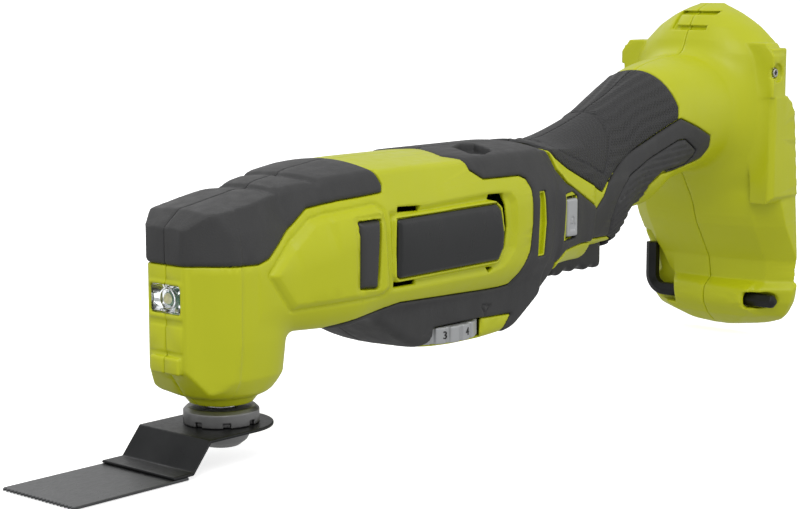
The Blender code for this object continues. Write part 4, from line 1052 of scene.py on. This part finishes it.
# ---------------------------------------------------------------- controls
def build_dial():
    def dial(x, y, z):
        r, turn = np.hypot(x - DIAL_X, y), np.arctan2(y, x - DIAL_X)
        step = 2 * math.pi / 24
        local = np.abs((turn / step) % 1.0 - 0.5) * 2.0
        rib = 0.9 * np.clip((local - 0.60) / 0.18, 0.0, 1.0)
        rim = r - DIAL_R + 0.05 + rib
        body = blend_max(rim, np.abs(z - DIAL_Z) - DIAL_HALF + 0.05, 0.6)
        hole = np.maximum(r - 2.6, np.abs(z - DIAL_Z) - 20)
        under = np.maximum(np.maximum(r - DIAL_R + 3.5, 5.0 - r), DIAL_Z + 1.0 - z)
        return blend_max(np.maximum(body, -hole), -under, 0.3)
    carve("speed_dial_ribbed", dial, (DIAL_X - DIAL_R, -DIAL_R, DIAL_LOW[2]),
          (DIAL_X + DIAL_R, DIAL_R, DIAL_HIGH[2]), 0.3, "silver", "speed_dial", "silver_plastic",
          ("speed_dial",), 0.4)
    for number, degrees in (("2", 135.0), ("3", 108.5), ("4", 81.5), ("5", 54.5), ("6", 27.5)):
        text = bpy.data.curves.new("dial_numeral_" + number, "FONT")
        text.body, text.size, text.extrude, text.align_x, text.align_y = number, 3.6, 0.12, "CENTER", "CENTER"
        text.offset = 0.04
        maker = bpy.data.objects.new("numeral_maker", text)
        bpy.context.scene.collection.objects.link(maker)
        bpy.context.view_layer.update()
        flat = bpy.data.meshes.new_from_object(maker.evaluated_get(bpy.context.evaluated_depsgraph_get()))
        bpy.data.objects.remove(maker)
        points = np.array([v.co for v in flat.vertices])
        turn = math.radians(-degrees) + points[:, 0] / DIAL_R
        radius = DIAL_R - 0.02 + points[:, 2]
        bent = [DIAL_X + radius * np.cos(turn), radius * np.sin(turn), DIAL_Z + points[:, 1]]
        faces = [tuple(f.vertices) for f in flat.polygons]
        bpy.data.meshes.remove(flat)
        mesh_piece("dial_numeral_" + number, np.stack(bent, axis=1), faces, "print", "speed_dial",
                   smooth=False)


def build_trigger():
    low, high = node_box("trigger")

    def trigger(x, y, z):
        along, from_middle = (x - low[0]) / (high[0] - low[0]), np.abs(x - (low[0] + high[0]) / 2)
        under = low[2] + 0.3 + 0.9 * np.sin(np.clip(along, 0, 1) * math.pi) ** 2
        under = under + 0.6 * np.sin((x - low[0]) * 2 * math.pi / 8.2) * step_in(from_middle - 14, 3)
        pad = blend_max(np.abs(y) - (high[1] - low[1]) / 2 + 0.05, under - z, 2.4)
        pad = blend_max(pad, z - min(high[2], 40.0) + 0.05, 0.8)
        pad = blend_max(pad, from_middle - (high[0] - low[0]) / 2 + 0.05, 2.0)
        stem = block(x, y, z, (168.8, -1.3, 36.0), (171.2, 1.3, high[2] - 0.1), 0.3)
        return blend_min(pad, stem, 1.0)
    carve("trigger_ribbed", trigger, low, high, 0.4, "black", "trigger", "dark_plastic", ("trigger",), 0.4)


def build_lock_button():
    low, high = LOCK_LOW, LOCK_HIGH
    mid_x, mid_z = (low[0] + high[0]) / 2, (low[2] + high[2]) / 2
    shackle = outline([
        (-1.1, 0.2), (-1.1, 2), (-0.5, 2.7), (0.5, 2.7), (1.1, 2), (1.1, 0.2), (0.5, 0.2), (0.5, 1.8),
        (0.2, 2.1), (-0.2, 2.1), (-0.5, 1.8), (-0.5, 0.2)
    ])
    case = outline([(-1.7, 0.3), (1.7, 0.3), (1.7, -2.2), (-1.7, -2.2)], 0.3)

    def button(x, y, z):
        trim = np.array([0.6, 0.05, 0.6])
        body = block(x, y, z, low + trim, high - trim, 0.9)
        u, v = x - mid_x, z - mid_z + 2.4
        mark = np.minimum(shackle(u, v), case(u, v))
        return blend_max(body, -np.maximum(mark, (high[1] - 0.35) - np.abs(y)), 0.15)
    carve("lock_button_silver", button, low, high, 0.3, "silver", "lock_button", "silver_plastic",
          ("lock_button",), 0.4)


def build_hex_key():
    low, high = KEY_LOW, KEY_HIGH
    across, bend = 2.45, 6.0
    arm_y = high[1] - 2.6

    def key(x, y, z):
        cy, cz = arm_y - bend, BAR_Z + bend
        r = np.hypot(y - cy, z - cz)
        long_arm = np.maximum(hexagon(x - BAR_X, z - BAR_Z, across), np.maximum(y - cy, low[1] + 0.1 - y))
        corner = np.maximum(hexagon(x - BAR_X, r - bend, across), np.maximum(cy - y, z - cz))
        short_arm = np.maximum(hexagon(x - BAR_X, y - arm_y, across), np.maximum(cz - z, z - high[2] + 0.1))
        tip = 0.75 * (low[1] + 1.2 - y) + 0.66 * (np.hypot(x - BAR_X, z - BAR_Z) - 2.3)
        return np.maximum(np.minimum(np.minimum(long_arm, corner), short_arm), tip)
    carve("hex_key_bent", key, low, high, 0.3, "black_steel", "hex_key", "black_steel", ("hex_key",), 0.35)


def build_foot_screws():
    for side, node in ((-1, "foot_screw_left"), (1, "foot_screw_right")):
        low, high = node_box(node)
        centre_x, centre_z = (low[0] + high[0]) / 2, (low[2] + high[2]) / 2

        def screw(x, y, z, side=side):
            depth = y * side
            r, turn = np.hypot(x - centre_x, z - centre_z), np.arctan2(z - centre_z, x - centre_x)
            head = blend_max(r - 1.75, np.abs(depth - 29.4) - 5.4, 0.4)
            lobes = r - 0.95 - 0.22 * np.cos(6 * turn)
            return blend_max(head, -np.maximum(lobes, 33.4 - depth), 0.12)
        carve(node + "_torx", screw, low, high, 0.2, "steel", "housing", "bright_steel", (node,), 0.5)


# ---------------------------------------------------------------- green trims on the dark saddle
def build_trims():
    """The green lining of the side slot and the green surround of the lock button."""
    def lining(d, x, y, z):
        slot = side_zone(STRIPE_SLOT, TRIM)(x, y, z)
        tub = blend_max(blend_max(d + 0.1, slot + 0.12, 0.2), -(d + 3.4), 0.2)
        return blend_max(tub, -np.maximum(STRIPE_SLOT(x, z) + 0.75, -(d + 1.9)), 0.3)

    def bezel(d, x, y, z):
        ring = np.maximum(LOCK_BEZEL(x, z) + 0.05, TRIM - np.abs(y))
        body = blend_max(blend_max(d - 0.05, ring, 0.3), -(d + SKIN), 0.2)
        return blend_max(body, -lock_room(x, y, z), 0.2)
    for name, shape, box in (("slot_lining", lining, ((124, -28, 37), (133, -14, 64))),
                             ("lock_bezel", bezel, ((141, -28, 40), (155, -14, 62)))):
        def fitted(x, y, z, shape=shape):
            return shape(distance_anywhere(x, y, z), x, y, z)
        near = carve(name + "_left", fitted, *box, 0.3, "lime", "housing", "lime_housing")
        mirror_piece(near, name + "_right", "lime", "housing", ())


# ---------------------------------------------------------------- studio
def studio():
    scene = bpy.context.scene
    scene.view_settings.view_transform = "Standard"
    azimuth, pitch = math.radians(48.71), math.radians(8.228)
    eye = place((-401.23, -425.31, 135.81))
    level = math.cos(pitch)
    forward = Vector((math.sin(azimuth) * level, math.cos(azimuth) * level, -math.sin(pitch)))
    camera = bpy.data.cameras.new("camera")
    camera.lens, camera.sensor_width = 87.31, 36.0
    camera.clip_end = 100.0
    holder = bpy.data.objects.new("camera", camera)
    holder.location = eye
    holder.rotation_euler = forward.to_track_quat("-Z", "Y").to_euler()
    scene.collection.objects.link(holder)
    scene.camera = holder
    world = bpy.data.worlds.new("soft_white")
    world.use_nodes = True
    tree = world.node_tree
    where = tree.nodes.new("ShaderNodeTexCoord")
    split = tree.nodes.new("ShaderNodeSeparateXYZ")
    tree.links.new(where.outputs["Generated"], split.inputs["Vector"])
    tree.links.new(spread(tree, split.outputs["Z"], 0.44, 0.70, -0.9, 0.9),
                   tree.nodes["Background"].inputs["Strength"])
    tree.nodes["Background"].inputs["Color"].default_value = (1.0, 1.0, 1.0, 1.0)
    scene.world = world
    centre = Vector((0.02, 0.0, 0.06))
    for name, offset, size, power in (("key", (-0.9, -0.7, 1.4), 1.1, 9.0),
                                      ("fill", (0.9, -1.3, 0.6), 1.4, 2.5),
                                      ("rim", (0.4, 1.3, 1.0), 1.0, 3.0)):
        light = bpy.data.lights.new(name, "AREA")
        light.size, light.energy = size, power
        lamp = bpy.data.objects.new(name, light)
        lamp.location = centre + Vector(offset)
        lamp.rotation_euler = (-Vector(offset)).to_track_quat("-Z", "Y").to_euler()
        scene.collection.objects.link(lamp)
    floor_mesh = bpy.data.meshes.new("floor")
    reach, ground = 12.0, cad_box[0][2] - 0.0004
    floor_mesh.from_pydata([(-reach, -reach, ground), (reach, -reach, ground), (reach, reach, ground),
                            (-reach, reach, ground)], [], [(0, 1, 2, 3)])
    floor = bpy.data.objects.new("floor", floor_mesh)
    scene.collection.objects.link(floor)
    look, tree, shader, where = new_look("pale_floor")
    tone = spread(tree, noise(tree, where, 3.0), 0.55, 0.8)
    tree.links.new(mix(tree, tone, (0.90, 0.90, 0.90), (0.93, 0.93, 0.93)), shader.inputs["Base Color"])
    shader.inputs["Roughness"].default_value = 0.8
    shader.inputs["Emission Color"].default_value = (1.0, 1.0, 1.0, 1.0)
    shader.inputs["Emission Strength"].default_value = 0.72
    floor.visible_diffuse = floor.visible_glossy = False
    floor.data.materials.append(look)


carry_over()
build_shells()
build_trims()
build_spindle()
build_blade()
build_lamp()
build_dial()
build_trigger()
build_lock_button()
build_hex_key()
build_foot_screws()
studio()

bpy.context.view_layer.update()
